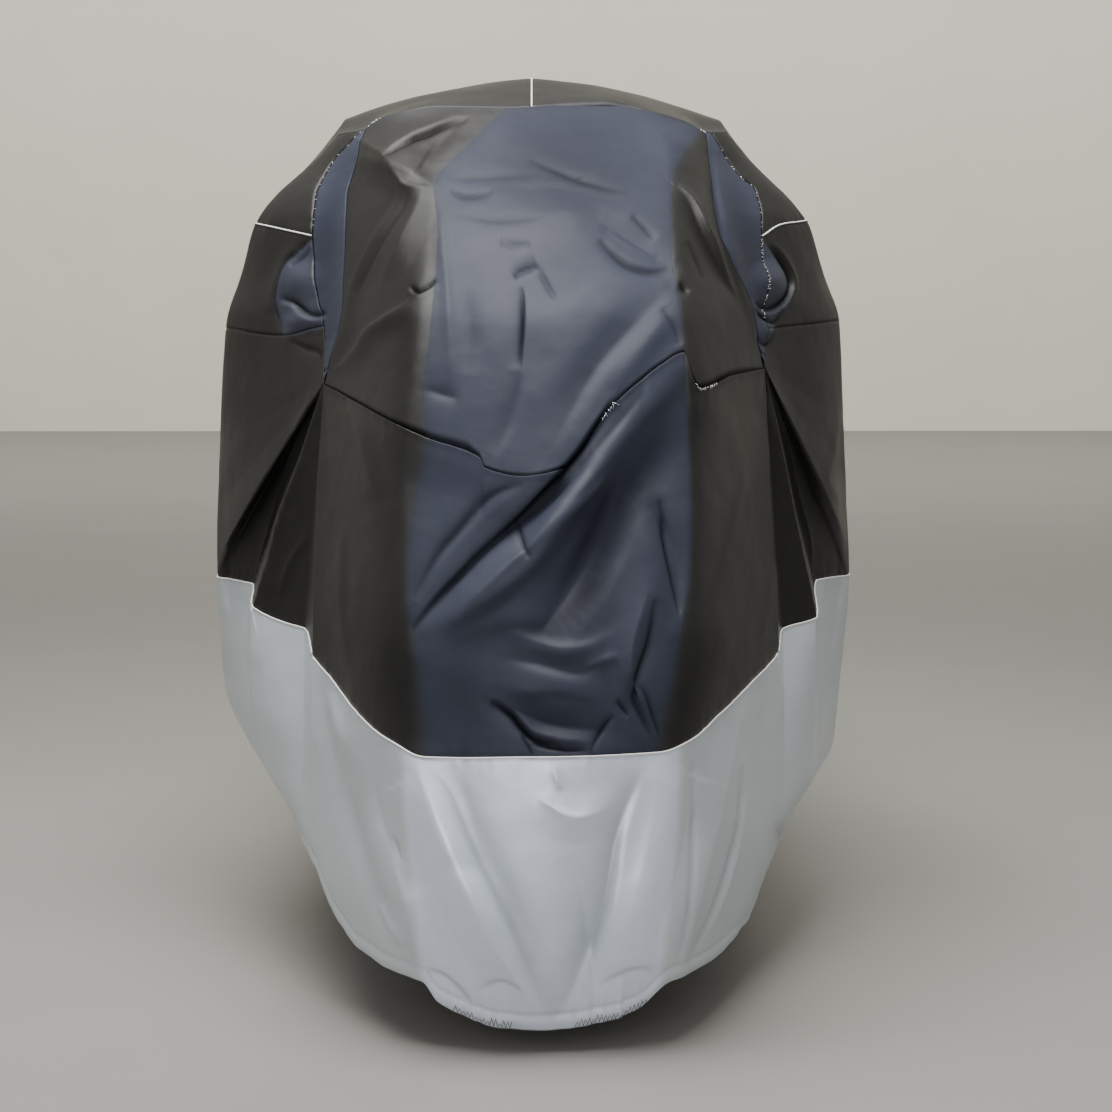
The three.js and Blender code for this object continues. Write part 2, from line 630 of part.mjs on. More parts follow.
function cornersOf(rows, flip) {
  const faces = [];
  for (let j = 0; j < rows.length - 1; j += 1) {
    for (let i = 0; i < rows[j].length - 1; i += 1) {
      const a = [j, i];
      const b = [j + 1, i];
      const c = [j + 1, i + 1];
      const d = [j, i + 1];
      faces.push(flip ? [a, c, b] : [a, b, c]);
      faces.push(flip ? [a, d, c] : [a, c, d]);
    }
  }
  return faces;
}

function addNormals(table, panel) {
  for (const face of cornersOf(panel.rows, panel.flip)) {
    const [a, b, c] = face.map(([j, i]) => panel.rows[j][i]);
    const normal = b.clone().sub(a).cross(c.clone().sub(a));
    for (const point of [a, b, c]) {
      const key = keyOf(point);
      if (!table.has(key)) table.set(key, new THREE.Vector3());
      table.get(key).add(normal);
    }
  }
}

// Draw the border of a panel in by half a seam, along the cloth
function inset(rows) {
  const last = rows.length - 1;
  const end = rows[0].length - 1;
  return rows.map((row, j) => row.map((point, i) => {
    const moved = point.clone();
    const pull = (toward) => {
      const step = toward.clone().sub(point);
      if (step.length() > SEAM_INSET * 2) moved.add(step.setLength(SEAM_INSET));
    };
    if (j === 0) pull(rows[1][i]);
    if (j === last) pull(rows[last - 1][i]);
    if (i === 0) pull(row[1]);
    if (i === end) pull(row[end - 1]);
    return moved;
  }));
}

function middleOf(points) {
  const sum = new THREE.Vector3();
  points.forEach((point) => sum.add(point));
  return sum.divideScalar(points.length);
}

function shell(panel, normals) {
  const shared = new Map();
  inset(panel.rows).forEach((row, j) => row.forEach((point, i) => {
    const key = keyOf(panel.rows[j][i]);
    if (!shared.has(key)) shared.set(key, []);
    shared.get(key).push(point);
  }));
  const keys = [...shared.keys()];
  const positions = keys.map((key) => middleOf(shared.get(key)));
  const inward = keys.map((key) => normals.get(key).clone().normalize());
  const index = new Map(keys.map((key, i) => [key, i]));
  const idOf = ([j, i]) => index.get(keyOf(panel.rows[j][i]));
  const faces = cornersOf(panel.rows, panel.flip)
    .map((face) => face.map(idOf))
    .filter(([a, b, c]) => a !== b && b !== c && a !== c);
  const count = positions.length;
  const triangles = [];
  const edges = new Map();
  for (const [a, b, c] of faces) {
    triangles.push([a, b, c], [a + count, c + count, b + count]);
    for (const [from, to] of [[a, b], [b, c], [c, a]]) {
      const back = `${to},${from}`;
      if (edges.has(back)) edges.delete(back);
      else edges.set(`${from},${to}`, [from, to]);
    }
  }
  for (const [from, to] of edges.values()) {
    triangles.push([from, from + count, to + count], [from, to + count, to]);
  }
  const inner = positions.map((point, i) => point.clone().addScaledVector(inward[i], -CLOTH));
  return solid([...positions, ...inner], triangles);
}

function solid(points, triangles) {
  const geometry = new THREE.BufferGeometry();
  geometry.setAttribute('position', new THREE.Float32BufferAttribute(points.flatMap((p) => p.toArray()), 3));
  geometry.setIndex(triangles.flat());
  geometry.computeVertexNormals();
  return geometry;
}

// Piping: a thin round cord along a seam, just proud of the cloth
function piping(line, normals) {
  const path = line.map((point) => {
    const normal = normals.get(keyOf(point)).clone().normalize();
    return point.clone().addScaledVector(normal, PIPING_RADIUS + PIPING_CLEAR);
  });
  const points = [];
  const triangles = [];
  path.forEach((point, i) => {
    const before = path[Math.max(i - 1, 0)];
    const after = path[Math.min(i + 1, path.length - 1)];
    const along = after.clone().sub(before).normalize();
    const up = normals.get(keyOf(line[i])).clone().normalize();
    const across = along.clone().cross(up).normalize();
    up.crossVectors(across, along).normalize();
    for (let k = 0; k < PIPING_SIDES; k += 1) {
      const angle = 2 * Math.PI * k / PIPING_SIDES;
      points.push(point.clone().addScaledVector(across, PIPING_RADIUS * Math.cos(angle))
        .addScaledVector(up, PIPING_RADIUS * Math.sin(angle)));
    }
  });
  const id = (i, k) => i * PIPING_SIDES + (k % PIPING_SIDES);
  for (let i = 0; i < path.length - 1; i += 1) {
    for (let k = 0; k < PIPING_SIDES; k += 1) {
      triangles.push([id(i, k), id(i + 1, k + 1), id(i, k + 1)], [id(i, k), id(i + 1, k), id(i + 1, k + 1)]);
    }
  }
  const end = path.length - 1;
  for (let k = 1; k < PIPING_SIDES - 1; k += 1) {
    triangles.push([id(0, 0), id(0, k), id(0, k + 1)], [id(end, 0), id(end, k + 1), id(end, k)]);
  }
  return solid(points, triangles);
}

function addPart(name, geometry, surface) {
  const material = new THREE.MeshStandardMaterial({ ...SURFACES[surface], metalness: 0 });
  const mesh = new THREE.Mesh(geometry, material);
  mesh.name = name;
  cover.add(mesh);
}

const cover = new THREE.Group();
const [left, right] = SIDES;
SIDES.forEach(prepare);

const panels = [
  { name: 'front_upper', rows: frontUpper(left, right), surface: 'navy', flip: false },
  { name: 'front_lower', rows: frontLower(left, right), surface: 'navy', flip: false },
  { name: 'skirt_front', rows: skirtFront(left, right), surface: 'silver', flip: false },
];
const lines = {};
for (const side of SIDES) {
  const flip = side.sign < 0;
  const add = (name, rows, surface) => panels.push({ name: `${name}_${side.name}`, rows, surface, flip });
  const addLong = (name, rows, surface) => {
    const [ahead, behind] = cutInTwo(rows);
    add(name, ahead, surface);
    add(`${name}_rear`, behind, surface);
    lines[`${name}_${side.name}`] = rows[0];
  };
  add('cheek', cheek(side), 'black');
  add('gusset', gusset(side), 'navy');
  add('shoulder', shoulder(side), 'black');
  add('mirror_pocket', pocket(side), 'black');
  addLong('side', sidePanel(side), 'black');
  addLong('skirt', skirtSide(side), 'silver');
  addLong('back', backPanel(side), 'black');
}

const normals = new Map();
panels.forEach((panel) => addNormals(normals, panel));
panels.forEach((panel) => addPart(panel.name, shell(panel, normals), panel.surface));

// The piping stops short of the corners, where seams meet
const rowsOf = (name) => panels.find((panel) => panel.name === name).rows;
addPart('piping_front', piping(rowsOf('skirt_front')[0].slice(1, -1), normals), 'white');
for (const side of SIDES) {
  addPart(`piping_${side.name}`, piping(lines[`skirt_${side.name}`].slice(1, -1), normals), 'white');
  const mirror = rowsOf(`mirror_pocket_${side.name}`)[0].slice(0, -1);
  addPart(`mirror_piping_${side.name}`, piping(mirror, normals), 'white');
}
addPart('ridge_piping', piping(lines.back_left.slice(1, -2), normals), 'white');

export default cover;
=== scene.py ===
import math

import bpy
import numpy as np
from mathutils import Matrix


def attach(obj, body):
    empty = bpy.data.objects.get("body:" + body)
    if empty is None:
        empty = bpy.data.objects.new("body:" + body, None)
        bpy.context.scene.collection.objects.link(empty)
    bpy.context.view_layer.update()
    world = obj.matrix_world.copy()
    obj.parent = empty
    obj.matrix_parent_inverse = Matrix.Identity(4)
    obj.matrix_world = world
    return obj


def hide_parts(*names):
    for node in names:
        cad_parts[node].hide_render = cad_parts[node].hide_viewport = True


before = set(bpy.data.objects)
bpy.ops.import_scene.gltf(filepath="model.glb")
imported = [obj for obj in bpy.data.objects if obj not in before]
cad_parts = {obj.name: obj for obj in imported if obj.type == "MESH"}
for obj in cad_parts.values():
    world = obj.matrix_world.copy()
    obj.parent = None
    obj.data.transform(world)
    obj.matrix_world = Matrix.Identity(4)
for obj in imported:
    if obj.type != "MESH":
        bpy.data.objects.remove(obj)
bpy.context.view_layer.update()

# Sizes below are millimetres unless a name says otherwise.
MM = 0.001

# Cloth and sewing
LAP_LIFT = 9
LAP_REACH = 70
LAP_TUCK = 16
LAP_END = 40
TUCK_START = 60
PIPING_RADIUS = 1.15
PIPING_LIFT = 0.2
PIPING_STEP = 5
HEM_FOLD = 1.6
# How far ahead of the brow, and how far in, the back panels are tucked under
BROW_TUCK = (2.5, 6)

# Grid steps of the panels, as in the solids, and how finely each is divided
HALF_FRONT_COLUMNS = 6
CHEEK_COLUMNS = 4
GUSSET_COLUMNS = 2
SHOULDER_COLUMNS = 3
POCKET_COLUMNS = 4
SHOULDER_ROWS = 5
POCKET_ROWS = 4
STEP_ROWS = 3
SIDE_ROWS = 10
SKIRT_ROWS = 8
PER_STEP = 14
PER_REAR_STEP = 6


def named(columns, rows):
    """Rows of plain values as one array for each column."""
    return {name: np.array([row[i] for row in rows], float) for i, name in enumerate(columns)}


# The front as seen from ahead: at each height, how far forward the nose, the
# panel edge, the cheek and the widest line stand, and how wide they are.
LEVELS = named(["z", "lean", "nose", "edgeX", "edgeY", "cheekX", "cheekY", "barL", "barR", "barY"], [
    [0, 16, -1120, 150, -1085, 250, -930, 300, 310, -560],
    [170, 16, -1148, 160, -1112, 305, -860, 362, 404, -490],
    [255, 15, -1140, 160, -1104, 325, -820, 438, 468, -435],
    [340, 14, -1128, 160, -1093, 330, -795, 477, 478, -410],
    [510, 20, -1080, 175, -1045, 335, -730, 488, 492, -400],
    [710, 25, -990, 187, -955, 335, -660, 482, 482, -396],
    [905, 30, -885, 175, -855, 330, -590, 467, 471, -400],
    [970, 30, -828, 172, -795, 322, -566, 445, 448, -400],
    [1052, 30, -743, 170, -708, 310, -531, 422, 422, -405],
    [1160, 15, -575, 185, -550, 275, -450, 322, 326, -388],
    [1227, 0, -465, 150, -452, 225, -420, 262, 272, -375],
])
BAR_TURN = 1.6
RIM_FADE = 26

# Where the middle line of the front crosses its seams
MIDDLE = {"brow": 0, "cross": 10, "skirt": 8, "hem": 16}

# Seams and edges of the front, each a line of (x, z) seen from ahead
BROW = [(-294, 1188), (-256, 1189), (-232, 1205), (-183, 1218), (-150, 1224), (-38, 1222), (0, 1224),
        (45, 1228), (109, 1232), (193, 1213), (236, 1199), (264, 1187), (301, 1192)]
CROSS_SEAM = [(-300, 816), (-269, 807), (-204, 783), (-137, 757), (-69, 734), (-63, 721), (-11, 710),
              (39, 719), (66, 746), (104, 797), (141, 829), (175, 854), (205, 869), (216, 838), (228, 820),
              (279, 834), (337, 838)]
SKIRT_SEAM = [(-488, 508), (-420, 512), (-414, 489), (-355, 472), (-320, 468), (-306, 444), (-272, 421),
              (-249, 403), (-200, 376), (-173, 366), (-140, 355), (12, 360), (161, 360), (209, 372),
              (243, 388), (273, 401), (304, 416), (350, 443), (360, 463), (417, 474), (426, 518), (492, 510)]
HEM = [(-366, 178), (-340, 170), (-304, 150), (-268, 93), (-236, 70), (-144, 57), (-123, 31), (-87, 13),
       (-48, 2), (16, 0), (97, 9), (139, 23), (185, 57), (261, 59), (303, 62), (334, 92), (350, 129),
        (404, 168)]

# How the pleats grow below their gather, and where they die out
PLEAT_GROWTH = 0.7
PLEAT_END = 150
PLEAT_SHADE_START = 40

LEFT = {
    "name": "left",
    "sign": -1,
    "bar": "barL",
    "edge_upper": [(-38, 1222), (-95, 1161), (-140, 1101), (-131, 1022), (-138, 899), (-147, 807),
     (-137, 757)],
    "edge_lower": [(-137, 757), (-146, 725), (-158, 660), (-165, 554), (-156, 514), (-140, 355)],
    "gusset_inner": [(-250, 1193), (-257, 1156), (-274, 1083), (-273, 938), (-300, 816)],
    "gusset_outer": [(-256, 1189), (-304, 1139), (-324, 1085), (-326, 1031), (-315, 940), (-303, 900),
     (-300, 816)],
    "shoulder_top": 1188,
    "mirror_seam": [(-326, 1031), (-422, 1052)],
    "grip_seam": [(-303, 900), (-378, 885), (-466, 893)],
    "gather": (-300, 818, 480),
    "pleat_feet": [-140, -182, -224, -266, -308, -321, -369, -415, -427, -448, -468, -488],
    "pleat_hems": [-130, -175, -218, -262, -304, -308, -318, -330, -338, -346, -356, -366],
    "pleats": [(-900, 0), (-620, 10), (-524, 24), (-506, -22), (-430, -42), (-415, 26), (-323, -38),
               (-308, 22), (-262, 2), (-200, 0)],
    "pleat_shade": [(-900, 0), (-516, 0), (-508, 0.6), (-430, 0.6), (-422, 0.1), (-400, 0.2), (-323, 0.3),
                    (-316, 0), (-200, 0)],
}
RIGHT = {
    "name": "right",
    "sign": 1,
    "bar": "barR",
    "edge_upper": [(254, 1191), (201, 1107), (196, 998), (204, 920), (205, 869)],
    "edge_lower": [(205, 869), (212, 700), (210, 597), (196, 523), (182, 449), (161, 360)],
    "gusset_inner": [(263, 1187), (272, 1084), (296, 988), (322, 928), (330, 878), (337, 838)],
    "gusset_outer": [(272, 1188), (315, 1119), (335, 1104), (343, 1064), (342, 1031), (343, 896), (337, 838)],
    "shoulder_top": 1192,
    "mirror_seam": [(342, 1031), (373, 1048), (422, 1056)],
    "grip_seam": [(343, 896), (375, 898), (471, 904)],
    "gather": (337, 842, 480),
    "pleat_feet": [161, 209, 256, 303, 350, 360, 390, 417, 427, 448, 470, 492],
    "pleat_hems": [140, 190, 240, 290, 342, 348, 354, 362, 372, 382, 393, 404],
    "pleats": [(200, 0), (290, 2), (350, 22), (361, -34), (416, 28), (428, -42), (500, -22), (528, 22),
               (640, 10), (900, 0)],
    "pleat_shade": [(200, 0), (352, 0), (361, 0.3), (404, 0.2), (420, 0.1), (430, 0.6), (502, 0.6), (512, 0),
                    (900, 0)],
}
SIDES = [LEFT, RIGHT]

# Broad folds of the front: height (ridge +, trough -), half-width, path in (x, z)
FOLD_ENDS = 0.35
FOLD_CRISPNESS = 1.5
FOLDS = [
    (14, 40, [(-262, 1150), (-214, 1135), (-142, 1104)]),
    (12, 32, [(225, 1090), (258, 1058), (285, 995), (312, 920)]),
    (12, 36, [(-150, 1100), (-185, 1030), (-215, 950)]),
    (-14, 40, [(95, 1040), (140, 1012), (195, 985)]),
    (-8, 36, [(-50, 1100), (40, 1088), (130, 1070)]),
    (-16, 34, [(60, 715), (-5, 660), (-70, 610), (-125, 545), (-150, 515)]),
    (12, 34, [(90, 700), (25, 645), (-40, 590), (-95, 530)]),
    (-18, 46, [(110, 690), (70, 600), (15, 520)]),
    (-12, 30, [(165, 665), (190, 600), (192, 535)]),
    (13, 38, [(150, 560), (128, 480), (150, 400)]),
    (-12, 30, [(-40, 425), (20, 400), (90, 390)]),
    (14, 34, [(-258, 800), (-236, 720), (-215, 650)]),
    (18, 46, [(-148, 340), (-90, 210), (-6, 45)]),
    (14, 34, [(-188, 240), (-172, 190), (-150, 85)]),
    (-12, 36, [(-215, 340), (-195, 260), (-170, 200)]),
    (17, 42, [(286, 372), (242, 230), (212, 140), (190, 60)]),
    (-13, 44, [(205, 330), (190, 240), (160, 130)]),
    (7, 34, [(24, 294), (58, 283), (94, 294)]),
    (-12, 44, [(60, 200), (75, 110), (80, 40)]),
]

# The length behind the widest line, one row for each cross-section
STATIONS = named(["y", "hemX", "hemZ", "seamX", "seamZ", "gripX", "gripZ", "mirrorX", "mirrorZ",
                  "shoulderX", "shoulderZ", "ridgeY", "ridgeZ"], [
    [-400, 385, 172, 490, 509, 469, 899, 422, 1054, 298, 1190, -465, 1224],
    [-300, 392, 158, 494, 510, 480, 886, 436, 1006, 290, 1217, -250, 1280],
    [-100, 378, 128, 478, 506, 452, 838, 449, 842, 252, 1112, -60, 1196],
    [200, 344, 98, 428, 494, 384, 752, 383, 755, 205, 944, 210, 1010],
    [520, 312, 86, 378, 484, 328, 690, 327, 693, 186, 818, 530, 872],
    [840, 282, 78, 338, 476, 286, 664, 285, 667, 168, 808, 830, 864],
    [1030, 224, 72, 258, 470, 220, 646, 219, 649, 132, 772, 985, 832],
    [1116, 138, 70, 158, 469, 134, 642, 133, 645, 82, 748, 1062, 790],
    [1153, 0, 70, 0, 468, 0, 640, 0, 643, 0, 735, 1090, 760],
])
LAST_STATION = 8
REAR_STEPS = [0, 0.5, 1, 1.5, 2, 2.5, 3, 3.5, 4, 4.5, 5, 5.5, 6, 6.4, 6.75, 7, 7.5, 8]
RAILS = ["hem", "seam", "grip", "mirror", "shoulder"]
SEAM_RAIL, GRIP_RAIL, MIRROR_RAIL, SHOULDER_RAIL = 1, 2, 3, 4
POCKET_END = 2
POCKET_RUN_OUT = 0.2
BACK_RUN_IN = 0.8
EVEN_OUT = 1.5
CROWN_POWER = 1.7
CROWN_RAILS = 2

# Folds of the sides and back: place, slope, height and half-width, and their fades
REAR_SHIFT = 25
REAR_FADE = {"hem": 0.4, "hem_rails": 0.6, "top_start": 2.2, "top_rails": 1.6, "end": 1.2, "last_start": 5.6}
REAR_FOLDS = [
    (-210, 700, 0.35, -16, 60),
    (-60, 640, 0.55, 15, 70),
    (120, 620, 0.8, -15, 65),
    (330, 560, 0.9, 13, 75),
    (560, 520, 0.6, -13, 70),
    (760, 520, 0.2, 12, 70),
    (930, 480, -0.2, -11, 60),
]

# Creases of the front, laid on the broad folds: height, half-width to the left and to the right of the way
# they run, shift to the left, how dark they are in their depth, path in (x, z)
# How dark they are in their depth is painted shade in the colour.
CREASES = [
    (4, 8, 12, 0, 0, [(-129, 1087), (-124, 1022), (-115, 953), (-111, 886), (-108, 820)]),
    (-5, 3, 8, 0, 0.5, [(-114, 1093), (-99, 1086), (-79, 1086), (-57, 1092)]),
    (-3, 10, 10, 0, 0.2, [(-117, 1109), (-60, 1113), (5, 1116)]),
    (-3, 9, 9, 0, 0.2, [(-108, 1059), (-52, 1051), (11, 1054)]),
    (-4, 9, 9, 0, 0.2, [(-44, 1019), (-20, 1015), (-3, 1017)]),
    (-3, 6, 12, 0, 0.35, [(-3, 1139), (33, 1123), (69, 1107), (111, 1094), (133, 1089)]),
    (-6, 4, 11, 0, 0.6, [(95, 1022), (111, 1005), (133, 988), (156, 980), (177, 979), (194, 983)]),
    (3, 6, 6, 11, 0, [(100, 1026), (118, 1010), (139, 998), (170, 988)]),
    (-4, 6, 6, 0, 0.3, [(141, 1056), (159, 1039), (172, 1022)]),
    (-7, 9, 5, 0, 0.5, [(-24, 971), (-14, 980), (7, 987)]),
    (-4, 4, 6, 0, 0.35, [(7, 987), (18, 967), (34, 940)]),
    (-6, 2, 9, 0, 1, [(-13, 956), (-12, 926), (-13, 893), (-15, 871), (-16, 850)]),
    (-4, 8, 14, 0, 0.2, [(-16, 847), (-24, 808), (-36, 769), (-53, 737)]),
    (-4, 14, 14, 0, 0.2, [(-85, 953), (-81, 886), (-86, 840)]),
    (-4, 10, 10, 0, 0.25, [(-145, 822), (-123, 817), (-99, 810)]),
    (-7, 14, 26, 0, 0.25, [(187, 960), (133, 906), (85, 853), (44, 788), (24, 750)]),
    (4, 16, 14, 0, 0, [(208, 939), (153, 879), (104, 818)]),
    (-4, 9, 9, 0, 0.35, [(178, 929), (196, 899), (201, 879)]),
    (-15, 16, 2.5, 0, 1, [(108, 808), (90, 782), (63, 743), (43, 718), (10, 684), (-16, 658), (-32, 643)]),
    (6, 3, 16, -5, 0, [(63, 743), (10, 684), (-16, 658), (-68, 609), (-120, 557), (-155, 513)]),
    (-4, 5, 14, 0, 0.5, [(145, 814), (117, 781), (77, 737), (37, 692), (-3, 652)]),
    (-4, 5, 2, 0, 0.45, [(-16, 658), (-42, 633), (-68, 609), (-94, 582), (-120, 557), (-146, 526),
     (-155, 513)]),
    (12, 16, 20, 0, 0, [(214, 856), (144, 784), (90, 720), (36, 655), (4, 605), (-42, 567), (-107, 530),
     (-153, 511)]),
    (-16, 40, 26, 0, 0, [(204, 806), (163, 742), (116, 673), (75, 604), (42, 549), (-3, 530)]),
    (-7, 10, 6, 0, 0.45, [(-13, 701), (-42, 692), (-68, 675), (-95, 645), (-121, 615), (-140, 583),
     (-156, 551)]),
    (-5, 3, 5, 0, 0.7, [(-20, 651), (-13, 629), (-3, 607)]),
    (-8, 4, 4, 0, 0.8, [(170, 678), (176, 627), (186, 576), (193, 532)]),
    (5, 9, 14, 0, 0, [(-35, 515), (-3, 503), (36, 493), (75, 497), (111, 514)]),
    (-5, 14, 10, 0, 0.3, [(-42, 486), (10, 478), (61, 465), (87, 480)]),
    (5, 10, 10, 0, 0, [(68, 470), (87, 477), (113, 485)]),
    (-9, 2.5, 9, 0, 1, [(-52, 428), (-41, 422), (-26, 412), (-13, 397), (3, 384), (35, 376)]),
    (5, 9, 3, 4, 0, [(-52, 428), (-41, 422), (-26, 412), (-13, 397), (3, 384), (35, 376), (74, 373)]),
    (-5, 6, 6, 0, 0.9, [(1, 378), (35, 370), (74, 368)]),
    (5, 24, 12, 0, 0, [(-47, 436), (-16, 443), (36, 444), (100, 430)]),
    (-5, 3, 3, 0, 0.8, [(103, 409), (87, 389), (76, 368)]),
    (-5, 3, 3, 0, 0.7, [(109, 429), (116, 419), (125, 408)]),
    (-10, 9, 5, 0, 0.7, [(160, 552), (153, 502), (139, 463), (130, 431), (142, 405), (155, 379)]),
    (-5, 3, 3, 0, 0.6, [(142, 448), (150, 430), (160, 399), (166, 376)]),
    (-4, 3, 3, 0, 0.7, [(-13, 387), (-6, 375), (1, 361)]),
    (-6, 3, 3, 0, 1, [(-168, 957), (-157, 950), (-148, 953), (-132, 964)]),
    (3, 5, 5, -6, 0, [(-168, 957), (-157, 950), (-148, 953), (-132, 964)]),
    (9, 40, 22, 0, 0, [(-272, 1180), (-238, 1159), (-211, 1138), (-191, 1113), (-181, 1099), (-160, 1095),
     (-140, 1097)]),
    (4, 6, 4, 0, 0, [(-272, 1180), (-238, 1159), (-211, 1138), (-191, 1113), (-181, 1099), (-160, 1095),
     (-140, 1097)]),
    (8, 14, 5, 0, 0, [(-184, 1095), (-195, 1073), (-213, 1045), (-229, 1016), (-243, 983), (-258, 945),
     (-267, 902),
                      (-281, 866), (-290, 835)]),
    (-5, 5, 8, 12, 0.2, [(-184, 1095), (-195, 1073), (-213, 1045), (-229, 1016), (-243, 983), (-258, 945)]),
    (7, 14, 4, 0, 0, [(-137, 953), (-182, 925), (-226, 897), (-246, 868), (-282, 835)]),
    (6, 14, 10, 0, 0, [(-252, 800), (-236, 761), (-223, 723), (-207, 673)]),
    (-7, 3, 6, 0, 1, [(-211, 1137), (-202, 1149), (-192, 1158), (-171, 1173), (-150, 1182), (-133, 1191),
                        (-114, 1199), (-96, 1204)]),
    (4, 12, 4, 6, 0, [(-211, 1137), (-202, 1149), (-192, 1158), (-171, 1173), (-150, 1182), (-133, 1191),
                      (-114, 1199), (-96, 1204)]),
    (-5, 14, 8, 0, 0.2, [(-103, 1199), (-135, 1171), (-155, 1140)]),
    (-8, 4, 20, 0, 0.3, [(208, 1100), (227, 1078), (243, 1044), (257, 1016), (276, 973), (295, 938)]),
    (6, 5, 5, 6, 0, [(208, 1100), (227, 1078), (243, 1044), (257, 1016), (276, 973), (295, 938)]),
    (-4, 6, 8, 0, 0.3, [(220, 1022), (236, 987), (241, 966)]),
    (-6, 4, 6, 0, 0.8, [(205, 962), (218, 950)]),
    (-8, 5, 16, 0, 0.3, [(267, 1172), (270, 1113), (276, 1068), (288, 1000), (306, 938), (322, 890)]),
    (7, 8, 12, 0, 0, [(-345, 1012), (-363, 1000), (-380, 951), (-386, 915)]),
    (-4, 5, 7, 0, 0.4, [(-329, 1013), (-342, 999), (-359, 984)]),
    (-8, 4, 6, 0, 0.8, [(-374, 939), (-356, 935), (-335, 921), (-318, 915), (-300, 919)]),
    (5, 7, 7, -9, 0, [(-374, 939), (-356, 935), (-335, 921), (-318, 915), (-300, 919)]),
    (-5, 6, 6, 0, 0.4, [(-358, 878), (-333, 867), (-311, 862), (-304, 848)]),
    (-10, 4, 6, 0, 1, [(328, 934), (342, 925), (359, 927), (377, 940), (386, 959), (380, 980), (366, 1001),
     (352, 1016)]),
    (6, 5, 5, -8, 0, [(328, 934), (342, 925), (359, 927), (377, 940), (386, 959), (380, 980), (366, 1001),
     (352, 1016)]),
    (-6, 4, 4, 0, 0.8, [(326, 926), (336, 914), (350, 905), (362, 906), (371, 922)]),
    (-4, 4, 4, 0, 0.5, [(326, 884), (338, 872), (352, 880), (362, 902)]),
    (-6, 4, 4, 0, 0.6, [(-327, 1028), (-350, 1009), (-366, 993), (-377, 966), (-384, 936), (-380, 910),
     (-370, 886)]),
    (4, 5, 7, 0, 0, [(-318, 806), (-338, 749), (-360, 689), (-378, 630), (-399, 569), (-418, 515)]),
    (3, 4, 6, 0, 0, [(-331, 713), (-345, 677), (-363, 632), (-382, 579)]),
    (3, 6, 6, 0, 0, [(-322, 600), (-350, 560), (-368, 510)]),
    (4, 7, 5, 0, 0, [(345, 824), (359, 777), (379, 704), (395, 644), (415, 576), (417, 522)]),
    (4, 12, 12, 0, 0, [(470, 767), (456, 709), (443, 666), (468, 631)]),
    (6, 22, 9, 0, 0, [(308, 742), (288, 678), (260, 591), (243, 543)]),
    (4, 14, 8, 0, 0, [(345, 568), (329, 503), (319, 465)]),
    (5, 8, 20, 0, 0, [(-264, 640), (-262, 529), (-255, 479), (-243, 418)]),
    (-10, 22, 8, 0, 0.15, [(-139, 351), (-106, 315), (-74, 241), (-29, 152), (20, 26)]),
    (12, 34, 50, 0, 0, [(-160, 350), (-141, 330), (-109, 238), (-74, 157), (-23, 77)]),
    (-10, 8, 22, 0, 0.15, [(139, 340), (110, 265), (94, 177), (67, 97), (35, 26)]),
    (13, 44, 30, 0, 0, [(196, 350), (181, 330), (165, 236), (139, 147), (94, 53)]),
    (-6, 3, 8, 0, 0.25, [(208, 338), (209, 215), (198, 124), (186, 82)]),
    (-6, 4, 8, 0, 0.3, [(286, 310), (275, 227), (244, 146), (204, 75)]),
    (6, 6, 6, 9, 0, [(281, 270), (262, 190), (225, 110)]),
    (-5, 14, 20, 0, 0.06, [(-299, 439), (-277, 367), (-248, 272), (-220, 192), (-175, 122), (-136, 73)]),
    (6, 14, 12, 0, 0, [(-278, 406), (-253, 323)]),
    (7, 8, 5, 0, 0, [(-203, 151), (-170, 105)]),
    (-4, 3, 3, 0, 0.25, [(-179, 248), (-169, 217)]),
    (-5, 3, 7, 0, 0.35, [(-136, 79), (-110, 67), (-81, 36)]),
    (-3, 3, 7, 0, 0.25, [(-71, 53), (-42, 69), (-10, 57)]),
    (4, 8, 4, 0, 0, [(8, 308), (24, 299), (42, 289), (60, 284), (78, 289)]),
    (4, 5, 5, 0, 0, [(26, 350), (35, 319)]),
    (-3, 3, 7, 0, 0.25, [(87, 61), (120, 79), (146, 80), (159, 67)]),
    (-2, 16, 16, 0, 0.08, [(-112, 232), (-88, 226), (-60, 214)]),
    (-3, 20, 20, 0, 0.3, [(348, 200), (377, 130)]),
]
# Narrow creases are sharp. Above the first width they turn round, over as much again.
CREASE_ROUND = 8
CREASE_SHARPNESS = 1.1
CREASE_ENDS = 0.06
CREASE_FADE = (0.6, 1.1)
# Half-width of the painted shade line in a crease: this much, and a share of the crease's own
DARK_WIDTH = 1.2
DARK_SHARE = 0.35
